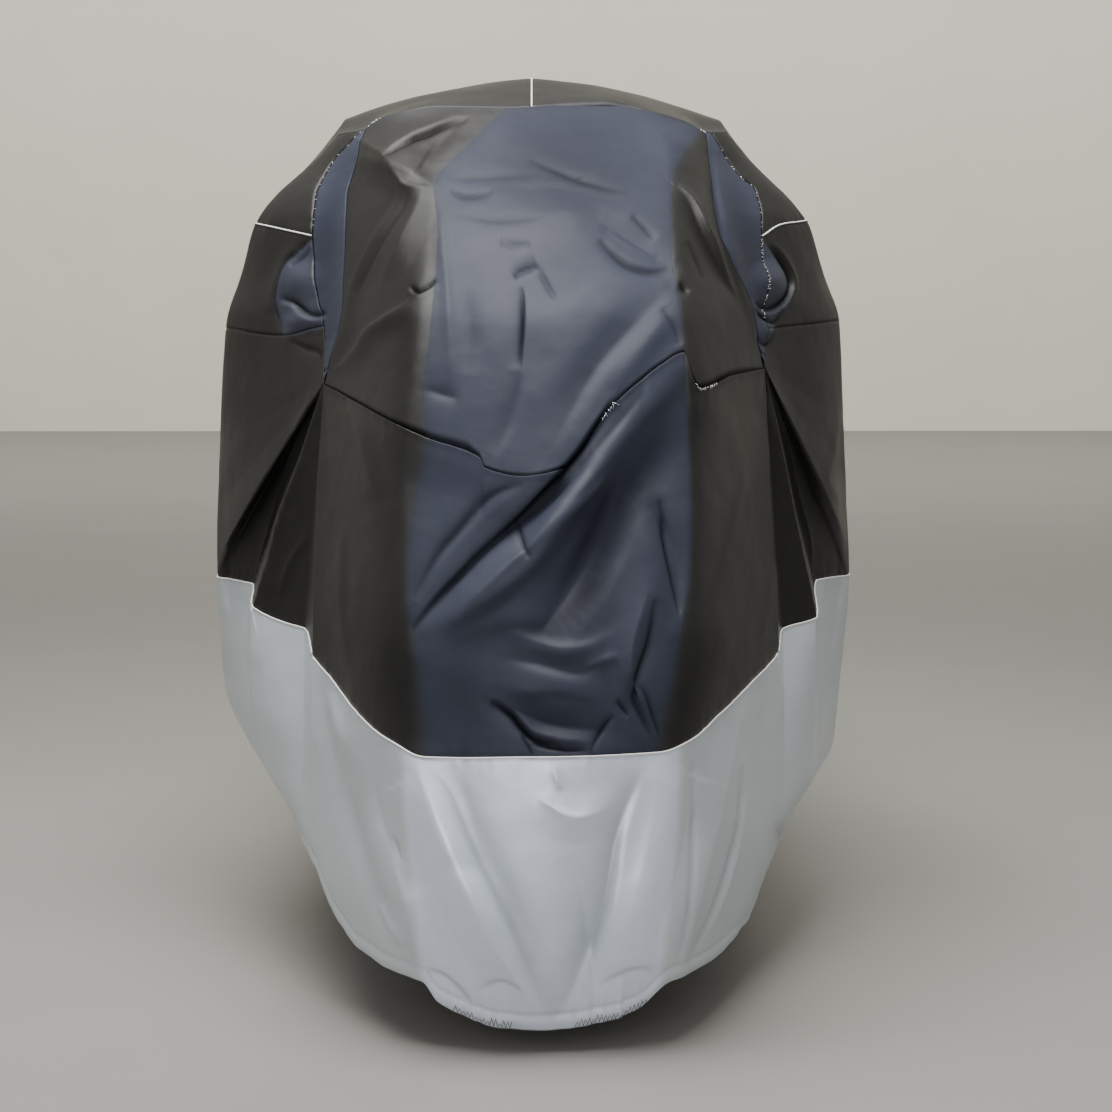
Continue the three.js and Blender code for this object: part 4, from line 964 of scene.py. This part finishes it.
def detail(grid, ahead, kinds, gaps):
    """How far each point moves along its normal, on top of the solids' own shape."""
    x, z = grid[..., 0], grid[..., 2]
    total = sum(height * noise(grid, size, CRUMPLE_SEED + i) for i, (size, height) in enumerate(CRUMPLES))
    if ahead:
        share = smooth((bar_x(x, z) - np.abs(x)) / CREASE_RIM)
        share[:, ahead:] = 0
    else:
        share = 1 - smooth(gaps[2] / BROW_REACH)
    total += creases(x, z) * share
    total += beside(gaps[0], kinds[0], grid[0]) + beside(gaps[1], kinds[1], grid[-1])
    total += (beside(gaps[2].T, kinds[2], grid[:, 0]) + beside(gaps[3].T, kinds[3], grid[:, -1])).T
    if kinds[1] == "hem":
        total += hem_shape(gaps[1], grid[-1])
    return total


def paint(grid, ahead, kinds, gaps, surface):
    """Two values for each point: how dark it is painted, as shade in creases, pleats, seam grooves and the
    gap over the cross seam, and its share of the other cloth's colour.
    """
    x, z = grid[..., 0], grid[..., 2]
    dark, other = np.zeros((2, *x.shape))
    if ahead:
        dark[:, :ahead] = depths(x[:, :ahead], z[:, :ahead])
    else:
        dark = depths(x, z) * (1 - smooth(gaps[2] / BROW_REACH))
    if surface == "black_cloth" and ahead:
        other[:, :ahead] = lining(x[:, :ahead], z[:, :ahead])
    # On the silver cloth the other colour is the painted shade of its sides.
    if surface == "silver_cloth":
        for edge in TONE_EDGES:
            beyond = (x - np.interp(z, *np.transpose(edge)[::-1])) * np.sign(edge[0][0])
            other = np.maximum(other, smooth(0.5 + beyond / TONE_BLEND))
        other[:, ahead:] = 1
    else:
        for n, (gap, kind) in enumerate(zip(gaps, kinds)):
            labels = np.atleast_1d(kind) if n < 2 else np.atleast_1d(kind)[:, None]
            other = np.maximum(other, (labels == "soft") * SHADE_SHARE * np.exp(-gap / SHADE_REACH))
            for label, (depth, width) in SEAM_LINES.items():
                dark = np.maximum(dark, (labels == label) * depth * bell(gap / width))
    # Painted shadow in the gap over the cross seam, where the upper cloth tucks in behind the lower.
    if kinds[1] == "tuck":
        above = z - height_on(CROSS_SEAM, x)
        dark = np.maximum(dark, np.where(above < 0, 1, np.exp(-((above / look_up(SEAM_GAPS, x)) ** 4))))
    return dark, other


def fold_back(grid, out, at_top):
    """The grid with rows that turn the cloth round its free edge and back a little way inside."""
    g, n = (grid, out) if at_top else (grid[::-1], out[::-1])
    edge = g[0] - n[0] * HEM_FOLD / 2 + (g[0] - g[1]) * FOLD_ROUND
    rows = np.array([*(g[row] - n[row] * HEM_FOLD for row in FOLD_ROWS[::-1]), edge, *g])
    return rows if at_top else rows[::-1]


def make_panels():
    """Every panel as name: (grid, sign, surface, columns in front, kinds of its four edges)."""
    panels = {}

    def add(name, grid, surface, behind, *kinds, sign=1):
        panels[name] = (grid, sign, surface, grid.shape[1] - behind, kinds)

    brow, cross, skirt = ("brow", BROW), ("cross", CROSS_SEAM), ("skirt", SKIRT_SEAM)
    upper = front_panel("edge_upper", (brow, cross), upper_rows, tucked)
    lower = front_panel("edge_lower", (cross, skirt), lambda side: LOWER, lapped)
    add("front_upper", upper, "navy_cloth", 0, "soft", "tuck", "soft", "soft")
    add("front_lower", lower, "navy_cloth", 0, "lip", "piped", "soft", "soft")
    add("skirt_front", skirt_front(), "silver_cloth", 0, "piped", "hem", "join", "join")
    rear_columns = len(BEHIND)
    c = np.pad(ACROSS, (0, rear_columns), constant_values=SIDE_COLUMNS)
    side_top = np.where(c < CHEEK_COLUMNS, "lip", np.where(c <= STEP_COLUMN, "ragged", "seam"))
    for side in SIDES:
        name, sign = side["name"], side["sign"]
        back = back_panel(side)
        brow_edge = np.repeat(["soft", "seam"], [len(back) - len(BACK_SIDE), len(BACK_SIDE)])
        for args in (
            ("cheek", cheek(side), "black_cloth", 0, "soft", "tuck", "soft", "seam"),
            ("gusset", gusset(side), "navy_cloth", 0, "seam", "hem", "seam", "ragged"),
            ("shoulder", shoulder(side), "black_cloth", 0, "seam", "piped", "ragged", "seam"),
            ("mirror_pocket", pocket(side), "black_cloth", POCKET_STEPS, "piped", "seam", "ragged", "none"),
            ("side", side_panel(side), "black_cloth", rear_columns, side_top, "piped", "soft", "join"),
            ("skirt", skirt_side(side), "silver_cloth", rear_columns, "piped", "hem", "join", "join"),
            ("back", back, "black_cloth", len(STEPS), "piped", "seam", brow_edge, "join"),
        ):
            add(f"{args[0]}_{name}", *args[1:], sign=sign)
    return panels


def shared_normals(panels):
    """Normals that two panels share wherever their points meet."""
    points = np.concatenate([panel[0].reshape(-1, 3) for panel in panels.values()])
    _, index = np.unique(np.round(points / KEY_STEP).astype(np.int64), axis=0, return_inverse=True)
    ends = np.cumsum([panel[0][..., 0].size for panel in panels.values()])
    total = np.zeros((index.max() + 1, 3))
    parts = np.split(index.reshape(-1), ends[:-1])
    for (grid, sign, *_), part in zip(panels.values(), parts):
        faces = sign * np.cross(grid[1:, 1:] - grid[:-1, :-1], grid[:-1, 1:] - grid[1:, :-1])
        here = part.reshape(grid.shape[:2])
        for corner in (here[:-1, :-1], here[1:, :-1], here[1:, 1:], here[:-1, 1:]):
            np.add.at(total, corner.reshape(-1), faces.reshape(-1, 3))
    total = unit(total)
    return {name: total[part].reshape(panels[name][0].shape) for name, part in zip(panels, parts)}


# Flat size of each panel as cut, in metres and square metres: width, length, cloth;
# of a pair, the left one first
FLAT = {
    "front_upper": (0.40, 0.72, 0.240),
    "front_lower": (0.44, 0.49, 0.178),
    "skirt_front": (1.14, 0.42, 0.372),
}
FLAT_PAIRS = {
    "cheek": ((0.27, 0.62, 0.128), (0.23, 0.55, 0.072)),
    "gusset": ((0.07, 0.46, 0.025), (0.08, 0.45, 0.029)),
    "shoulder": ((0.11, 0.21, 0.016), (0.11, 0.21, 0.015)),
    "mirror_pocket": ((0.58, 0.17, 0.062), (0.57, 0.17, 0.058)),
    "side": ((1.10, 0.46, 0.402), (1.06, 0.47, 0.401)),
    "side_rear": ((1.50, 0.25, 0.336), (1.50, 0.25, 0.337)),
    "skirt": ((0.83, 0.44, 0.281), (0.76, 0.46, 0.265)),
    "skirt_rear": ((1.46, 0.43, 0.601), (1.46, 0.43, 0.602)),
    "back": ((0.44, 0.60, 0.219), (0.44, 0.60, 0.218)),
    "back_rear": ((1.40, 0.44, 0.565), (1.40, 0.44, 0.564)),
}
for kind, pair in FLAT_PAIRS.items():
    FLAT[f"{kind}_left"], FLAT[f"{kind}_right"] = pair

# Points nearer than this count as one for the normals, and edges and faces smaller
# than these are left out
KEY_STEP = 0.05
LEAST_EDGE = 0.02
LEAST_DOUBLE_AREA = 2e-4


# Blender objects


def mesh_object(name, points, faces, uv, surface, node):
    """A smooth mesh that rides with the body and stands for a node of the solids."""
    mesh = bpy.data.meshes.new(name)
    mesh.from_pydata((np.asarray(points) * MM).tolist(), [], faces)
    mesh.polygons.foreach_set("use_smooth", [True] * len(mesh.polygons))
    corners = np.empty(len(mesh.loops), np.int32)
    mesh.loops.foreach_get("vertex_index", corners)
    mesh.uv_layers.new(name="cloth").data.foreach_set("uv", (uv[corners] * MM).reshape(-1).astype(np.float32))
    mesh.update()
    mesh.materials.append(MATERIALS[surface])
    obj = bpy.data.objects.new(name, mesh)
    bpy.context.scene.collection.objects.link(obj)
    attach(obj, "root")
    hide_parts(node)
    return obj


def grid_faces(grid, sign):
    """Four-cornered faces, as triangles where two corners fall on one point."""
    index = np.arange(grid[..., 0].size).reshape(grid.shape[:2])
    corners = [index[:-1, :-1], index[1:, :-1], index[1:, 1:], index[:-1, 1:]][::sign]
    faces = np.stack([corner.reshape(-1) for corner in corners], -1)
    a, b, c, d = np.moveaxis(grid.reshape(-1, 3)[faces], 1, 0)
    faces = faces[np.linalg.norm(np.cross(c - a, d - b), axis=1) > LEAST_DOUBLE_AREA]
    around = grid.reshape(-1, 3)[faces]
    short = np.linalg.norm(around - np.roll(around, -1, axis=1), axis=2) < LEAST_EDGE
    plain = ~short.any(axis=1)
    triangles = [face[~gone].tolist() for face, gone in zip(faces[~plain], short[~plain])]
    return faces[plain].tolist() + [corners for corners in triangles if len(corners) == 3]


def cloth_panel(name, grid, sign, surface, start, painted):
    uv = np.stack([lengths(grid, 1) + start, lengths(grid, 0)], -1).reshape(-1, 2)
    obj = mesh_object(f"cloth_{name}", grid.reshape(-1, 3), grid_faces(grid, sign), uv, surface, name)
    for label, values in zip(("dark", "other"), painted):
        layer = obj.data.attributes.new(label, "FLOAT", "POINT")
        layer.data.foreach_set("value", values.reshape(-1).astype(np.float32))


def tube(name, path, normals, radius, surface, node, sides=8):
    """A round cord along a path."""
    along = unit(np.gradient(path, axis=0))
    across = unit(np.cross(along, normals))
    up = np.cross(across, along)
    angle = np.arange(sides) * 2 * math.pi / sides
    ring = across[:, None] * np.cos(angle)[None, :, None] + up[:, None] * np.sin(angle)[None, :, None]
    index = np.arange(len(path) * sides).reshape(-1, sides)
    ahead = np.roll(index, -1, axis=1)
    faces = np.stack([index[:-1], index[1:], ahead[1:], ahead[:-1]], -1).reshape(-1, 4).tolist()
    faces += [index[0].tolist(), index[-1].tolist()[::-1]]
    uv = np.stack(np.broadcast_arrays(lengths(path, 0)[:, None], angle * radius), -1).reshape(-1, 2)
    mesh_object(name, (path[:, None] + radius * ring).reshape(-1, 3), faces, uv, surface, node)


# Surfaces


def add_node(tree, kind, values=(), links=(), **settings):
    """A node with its settings, the values of its inputs and what is linked to them."""
    node = tree.nodes.new(kind)
    for key, value in settings.items():
        setattr(node, key, value)
    for key, value in dict(values).items():
        node.inputs[key].default_value = value
    for key, source in dict(links).items():
        tree.links.new(source, node.inputs[key])
    return node


def noise_node(tree, source, scale, detail_level):
    values = {"Scale": scale, "Detail": detail_level, "Roughness": 0.55}
    return add_node(tree, "ShaderNodeTexNoise", values, {"Vector": source}).outputs["Fac"]


def ramp(tree, source, low, high):
    values = {"From Min": 0.3, "From Max": 0.7, "To Min": low, "To Max": high}
    return add_node(tree, "ShaderNodeMapRange", values, {"Value": source}).outputs["Result"]


def mixed(tree, factor, a, b, kind="RGBA"):
    """Two colours or values mixed by a factor; each is a socket or plain."""
    ends = {"A": a, "B": b, "Factor": factor}
    links = {key: end for key, end in ends.items() if isinstance(end, bpy.types.NodeSocket)}
    values = {key: (*end, 1) if kind == "RGBA" else end for key, end in ends.items() if key not in links}
    return add_node(tree, "ShaderNodeMix", values, links, data_type=kind).outputs["Result"]


def new_material(name):
    material = bpy.data.materials.new(name)
    material.use_nodes = True
    tree = material.node_tree
    place = add_node(tree, "ShaderNodeTexCoord")
    return material, tree, tree.nodes["Principled BSDF"], place.outputs["Object"], place.outputs["UV"]


def attribute(tree, label):
    return add_node(tree, "ShaderNodeAttribute", attribute_name=label).outputs["Fac"]


# Scale and detail of the noise for broad patches, small patches, grain and crumples
PATTERNS = [(6, 4), (55, 3), (240, 2), (26, 3)]
# The scale of a band pattern whose bands come once in a metre
BAND_SCALE = 0.314


def cloth_material(name, base, lift, other, roughness, sheen, weave_size, crumple, gloss, metal):
    material, tree, shader, place, flat = new_material(name)
    bands = [
        add_node(tree, "ShaderNodeTexWave", {"Scale": BAND_SCALE / weave_size}, {"Vector": flat},
                 wave_type="BANDS", bands_direction=direction).outputs["Fac"]
        for direction in ("X", "Y")
    ]
    woven = add_node(tree, "ShaderNodeMath", links=enumerate(bands), operation="MAXIMUM").outputs["Value"]
    broad, small, grain, crumples = (noise_node(tree, place, *size) for size in PATTERNS)
    patches = mixed(tree, 0.35, ramp(tree, broad, 0.1, 0.9), ramp(tree, small, 0, 1), "FLOAT")
    colour = mixed(tree, patches, base, [value * lift for value in base])
    colour = mixed(tree, attribute(tree, "other"), colour, other)
    # The dark attribute is painted shade: it darkens the colour and takes the gloss away.
    colour = mixed(tree, attribute(tree, "dark"), colour, [value * DEPTH_SHADE for value in base])
    shine = add_node(tree, "ShaderNodeMapRange", {"To Min": gloss, "To Max": DEPTH_GLOSS},
                     {"Value": attribute(tree, "dark")})
    before = {}
    for height, distance, strength in (
        (crumples, 0.002, crumple),
        (small, 0.0006, crumple),
        (grain, 0.0001, crumple * 0.8),
        (woven, 0.0002, 0.15),
    ):
        bump = add_node(tree, "ShaderNodeBump", {"Strength": strength, "Distance": distance},
                        {"Height": height, **before})
        before = {"Normal": bump.outputs["Normal"]}
    sources = {
        "Base Color": colour,
        "Specular IOR Level": shine.outputs["Result"],
        "Roughness": ramp(tree, broad, roughness - 0.06, roughness + 0.08),
        **before,
    }
    for key, source in sources.items():
        tree.links.new(source, shader.inputs[key])
    for key, value in {"Sheen Weight": sheen, "Metallic": metal, "Sheen Roughness": 0.4}.items():
        shader.inputs[key].default_value = value
    return material


def plain_material(name, colour, roughness, variation):
    """Floor, backdrop: a plain matt colour, faintly uneven."""
    material, tree, shader, place, _ = new_material(name)
    patches = ramp(tree, noise_node(tree, place, 1.5, 3), 0, 1)
    uneven = mixed(tree, patches, [value * (1 - variation) for value in colour], colour)
    tree.links.new(uneven, shader.inputs["Base Color"])
    shader.inputs["Roughness"].default_value = roughness
    return material


# What is left of the colour and of the gloss in the depth of a crease, where shade is painted
DEPTH_SHADE = 0.15
DEPTH_GLOSS = 0.02
NAVY = (0.0285, 0.033, 0.051)
BLACK = (0.0095, 0.0092, 0.0082)
SILVER = (0.70, 0.77, 0.90)
# The skirt's sides: the same silver cloth, painted duller and greener as shade and side light
SILVER_SIDE_SHADE = (0.57, 0.63, 0.67)
WHITE = (0.8, 0.8, 0.78)
# Colour, how much lighter in patches, the other colour, roughness, sheen, size of the
# weave in metres, strength of the crumples, gloss, metal
CLOTHS = {
    "navy_cloth": (NAVY, 1.2, BLACK, 0.44, 0.02, 0.0006, 0.3, 0.15, 0),
    "black_cloth": (BLACK, 1.3, NAVY, 0.42, 0.01, 0.0006, 0.3, 0.32, 0),
    "silver_cloth": (SILVER, 1.12, SILVER_SIDE_SHADE, 0.33, 0.02, 0.0006, 0.22, 0.3, 0.45),
    "white_piping": (WHITE, 1.1, WHITE, 0.55, 0.05, 0.0008, 0.2, 0.3, 0),
}
MATERIALS = {name: cloth_material(name, *values) for name, values in CLOTHS.items()}
# Where the weave of each panel starts, so that no two panels repeat one another
PATTERN_SHIFT = 700

for side in SIDES:
    prepare(side)
panels = make_panels()
normals = shared_normals(panels)
shown = {}
for n, (name, (grid, sign, surface, ahead, kinds)) in enumerate(panels.items()):
    out = normals[name]
    gaps = gaps_of(grid)
    shaped = grid + out * detail(grid, ahead, kinds, gaps)[..., None]
    shown[name] = shaped
    painted = paint(grid, ahead, kinds, gaps, surface)
    if name.startswith("back"):
        ahead_of = unit(shaped[:, :1] - shaped[:, 1:2])
        under = shaped[:, :1] + BROW_TUCK[0] * ahead_of - BROW_TUCK[1] * out[:, :1]
        shaped = np.concatenate([under, shaped], 1)
        painted = [np.pad(layer, ((0, 0), (1, 0)), mode="edge") for layer in painted]
    at_top = name.startswith(("front_lower", "side"))
    if at_top or name.startswith("skirt"):
        shaped = fold_back(shaped, out, at_top)
        extra = len(FOLD_ROWS) + 1
        pad = ((extra, 0) if at_top else (0, extra), (0, 0))
        painted = [np.pad(layer, pad, mode="edge") for layer in painted]
    start = n * PATTERN_SHIFT
    if grid.shape[1] > ahead + POCKET_STEPS:
        kind, side_name = name.split("_")
        place = grid.shape[1] - int((STEPS > POCKET_END).sum())
        coarse = np.unique([*range(0, len(shaped), 2), len(shaped) - 1])
        cloth_panel(name, shaped[:, :place], sign, surface, start, [layer[:, :place] for layer in painted])
        behind, *layers = (layer[coarse, place - 1 :] for layer in (shaped, *painted))
        cloth_panel(f"{kind}_rear_{side_name}", behind, sign, surface, start + PATTERN_SHIFT / 2, layers)
    else:
        cloth_panel(name, shaped, sign, surface, start, painted)


def sample(run, values, at):
    """Rows of values, each at its place along a run."""
    return np.stack([np.interp(at, run, column) for column in values.T], -1)


def piping(node, source, start, end):
    """White piping along the top row of a panel."""
    path, out = shown[source][0][start:end], normals[source][0][start:end]
    run = lengths(path, 0)
    even = np.linspace(0, run[-1], max(int(run[-1] / PIPING_STEP), 8))
    out = unit(sample(run, out, even))
    path = sample(run, path, even) + out * (PIPING_RADIUS + PIPING_LIFT)
    tube(f"cord_{node}", path, out, PIPING_RADIUS, "white_piping", node)


piping("piping_front", "skirt_front", 3, -3)
piping("ridge_piping", "back_left", 0, -6)
for name in ("left", "right"):
    piping(f"piping_{name}", f"skirt_{name}", 3, -6)
    piping(f"mirror_piping_{name}", f"mirror_pocket_{name}", 2, -2)

# Stitches and loose threads: panel, edge, start and end along it, spacing, length, how
# uneven, cloth
THREADS = [
    ("gusset_left", "last", 8, 350, 4.5, 5, 0.5, "black_cloth"),
    ("gusset_left", "last", 4, 190, 14, 6, 0.9, "white_piping"),
    ("gusset_right", "last", 10, 380, 4.5, 5, 0.5, "black_cloth"),
    ("gusset_right", "last", 40, 360, 12, 6, 0.9, "white_piping"),
    ("cheek_left", "top", 196, 218, 4, 9, 0.9, "white_piping"),
    ("cheek_right", "top", 0, 34, 5, 9, 0.9, "white_piping"),
    ("front_lower", "top", 304, 332, 4, 9, 0.9, "silver_cloth"),
    ("side_right", "top", 48, 112, 5, 5, 0.9, "white_piping"),
    ("mirror_pocket_right", "first", 5, 150, 8, 6, 0.9, "white_piping"),
]
THREAD_RADIUS = 0.35
THREAD_SEED = 300
# Zigzag over the gathered hem: start and end in x, step, height; how far it stands
# above the edge and off the cloth; its shadow, which lies a little off it
ZIGZAGS = [(-103, -27, 2.6, 9), (53, 149, 2.6, 9)]
ZIGZAG_SEED = 400
ZIGZAG_FOOT = 4
ZIGZAG_LIFT = 4.2
SHADOW_SHIFT = (1.4, 0.8, -0.8)


def strands(name, paths, surface, node):
    """Short threads, each three-sided, as one piece."""
    points, faces, flat = [], [], []
    for path in paths:
        along = path[-1] - path[0]
        across = unit(np.cross(along, (0, -1, 0.2)))
        up = np.cross(across, unit(along))
        rings = [THREAD_RADIUS * (across * math.cos(a) + up * math.sin(a)) for a in (0.5, 2.6, 4.7)]
        start = len(points)
        for n, place in enumerate(path):
            points += [place + ring for ring in rings]
            flat += [(n * 2.0, 0.0), (n * 2.0, 1.0), (n * 2.0, 2.0)]
        for at in range(start, len(points) - 3, 3):
            faces += [(at + i, at + (i + 1) % 3, at + 3 + (i + 1) % 3, at + 3 + i) for i in range(3)]
        end = len(points) - 3
        faces += [(start, start + 2, start + 1), (end, end + 1, end + 2)]
    mesh_object(name, points, faces, np.array(flat), surface, node)


def edge_of(source, edge):
    """The points, normals and inward directions along one edge of a panel."""
    grid, out = shown[source], normals[source]
    if edge in ("first", "last"):
        grid, out = grid.transpose(1, 0, 2), out.transpose(1, 0, 2)
    if edge in ("last", "bottom"):
        grid, out = grid[::-1], out[::-1]
    return grid[0], out[0], unit(grid[3] - grid[0])


def thread_row(number, source, edge, start, end, spacing, size, uneven, surface):
    path, *frames = edge_of(source, edge)
    run = lengths(path, 0)
    rng = np.random.default_rng(THREAD_SEED + number)
    places = np.arange(start, min(end, run[-1]), spacing)
    paths = []
    for place in places + rng.uniform(-0.5, 0.5, len(places)) * uneven * spacing:
        at, up, into = (sample(run, values, place) for values in (path, *frames))
        aside = np.cross(up, into)
        turn = rng.normal(0, 0.8) * uneven
        way = into * math.cos(turn) + aside * math.sin(turn)
        way *= size / 2 * (1 + rng.uniform(-0.5, 0.5) * uneven)
        lift = up * (1.0 + rng.uniform(0, 1) * uneven)
        paths.append([at - way * 0.6 + up * 0.3, at + lift + aside * rng.normal(0, 0.5), at + way + up * 0.5])
    strands(f"threads_{number}_{source}", paths, surface, source)


for number, row in enumerate(THREADS):
    thread_row(number, *row)

hem_path, hem_out, _ = edge_of("skirt_front", "bottom")
hem_up = unit(shown["skirt_front"][-13] - shown["skirt_front"][-3])
order = np.argsort(hem_path[:, 0])
for number, (start, end, step, height) in enumerate(ZIGZAGS):
    rng = np.random.default_rng(ZIGZAG_SEED + number)
    corners = []
    for n, x in enumerate(np.arange(start, end, step)):
        at, up, into = (sample(hem_path[order, 0], v[order], x) for v in (hem_path, hem_out, hem_up))
        rise = ZIGZAG_FOOT + height * (n % 2) * rng.uniform(0.4, 1.2)
        corners.append(at + into * rise + up * ZIGZAG_LIFT)
    shade = [corner + np.array(SHADOW_SHIFT) for corner in corners]
    strands(f"zigzag_{number}", zip(corners, corners[1:]), "white_piping", "skirt_front")
    strands(f"zigzag_shade_{number}", zip(shade, shade[1:]), "black_cloth", "skirt_front")

# Room, light and camera, in metres
FLOOR = -0.03
FLOOR_START = -8
WALL = 12.3
WALL_TOP = 9
HALF_ROOM = 14


def link(name, data):
    obj = bpy.data.objects.new(name, data)
    bpy.context.scene.collection.objects.link(obj)
    return obj


def plane(name, low_edge, high_edge, paint_colour, roughness, variation):
    """A rectangle as wide as the room, between two edges given as (y, z)."""
    mesh = bpy.data.meshes.new(name)
    ends = ((-1, low_edge), (1, low_edge), (1, high_edge), (-1, high_edge))
    corners = [(side * HALF_ROOM, *edge) for side, edge in ends]
    mesh.from_pydata(corners, [], [(0, 1, 2, 3)])
    mesh.materials.append(plain_material(f"{name}_paint", paint_colour, roughness, variation))
    link(name, mesh)


plane("floor", (FLOOR_START, FLOOR), (WALL, FLOOR), (0.268, 0.263, 0.25), 0.5, 0.06)
plane("wall", (WALL, FLOOR), (WALL, WALL_TOP), (0.87, 0.85, 0.73), 0.8, 0.04)


def area_light(name, place, aim, size, power, colour):
    light = bpy.data.lights.new(name, "AREA")
    light.shape = "RECTANGLE"
    light.size, light.size_y = size
    light.energy = power
    light.color = colour
    obj = link(name, light)
    obj.location = place
    x, y, z = (a - p for a, p in zip(aim, place))
    obj.rotation_euler = (math.atan2(math.hypot(x, y), -z), 0, math.atan2(-x, y))


area_light("above", (-0.3, -0.9, 3.4), (0, -0.3, 0.6), (2.6, 2.0), 212, (1.0, 0.99, 0.96))
area_light("ahead", (-0.8, -5.0, 1.8), (0, -0.6, 0.4), (2.4, 1.6), 31, (1.0, 0.98, 0.95))
area_light("wall_wash", (0, 7.5, 5.5), (0, WALL, 1.6), (14, 2.0), 455, (1.0, 0.98, 0.94))
world = bpy.data.worlds.new("room")
bpy.context.scene.world = world
world.use_nodes = True
sky = world.node_tree.nodes["Background"]
sky.inputs["Color"].default_value = (0.95, 0.93, 0.89, 1)
sky.inputs["Strength"].default_value = 0.53

camera = link("camera", bpy.data.cameras.new("camera"))
camera.data.lens = 82.9
camera.data.sensor_width = 36
camera.data.clip_end = 100
camera.location = (0, -4.352, 0.972)
camera.rotation_euler = (math.radians(90 - 6.24), 0, math.radians(-0.537))
bpy.context.scene.camera = camera
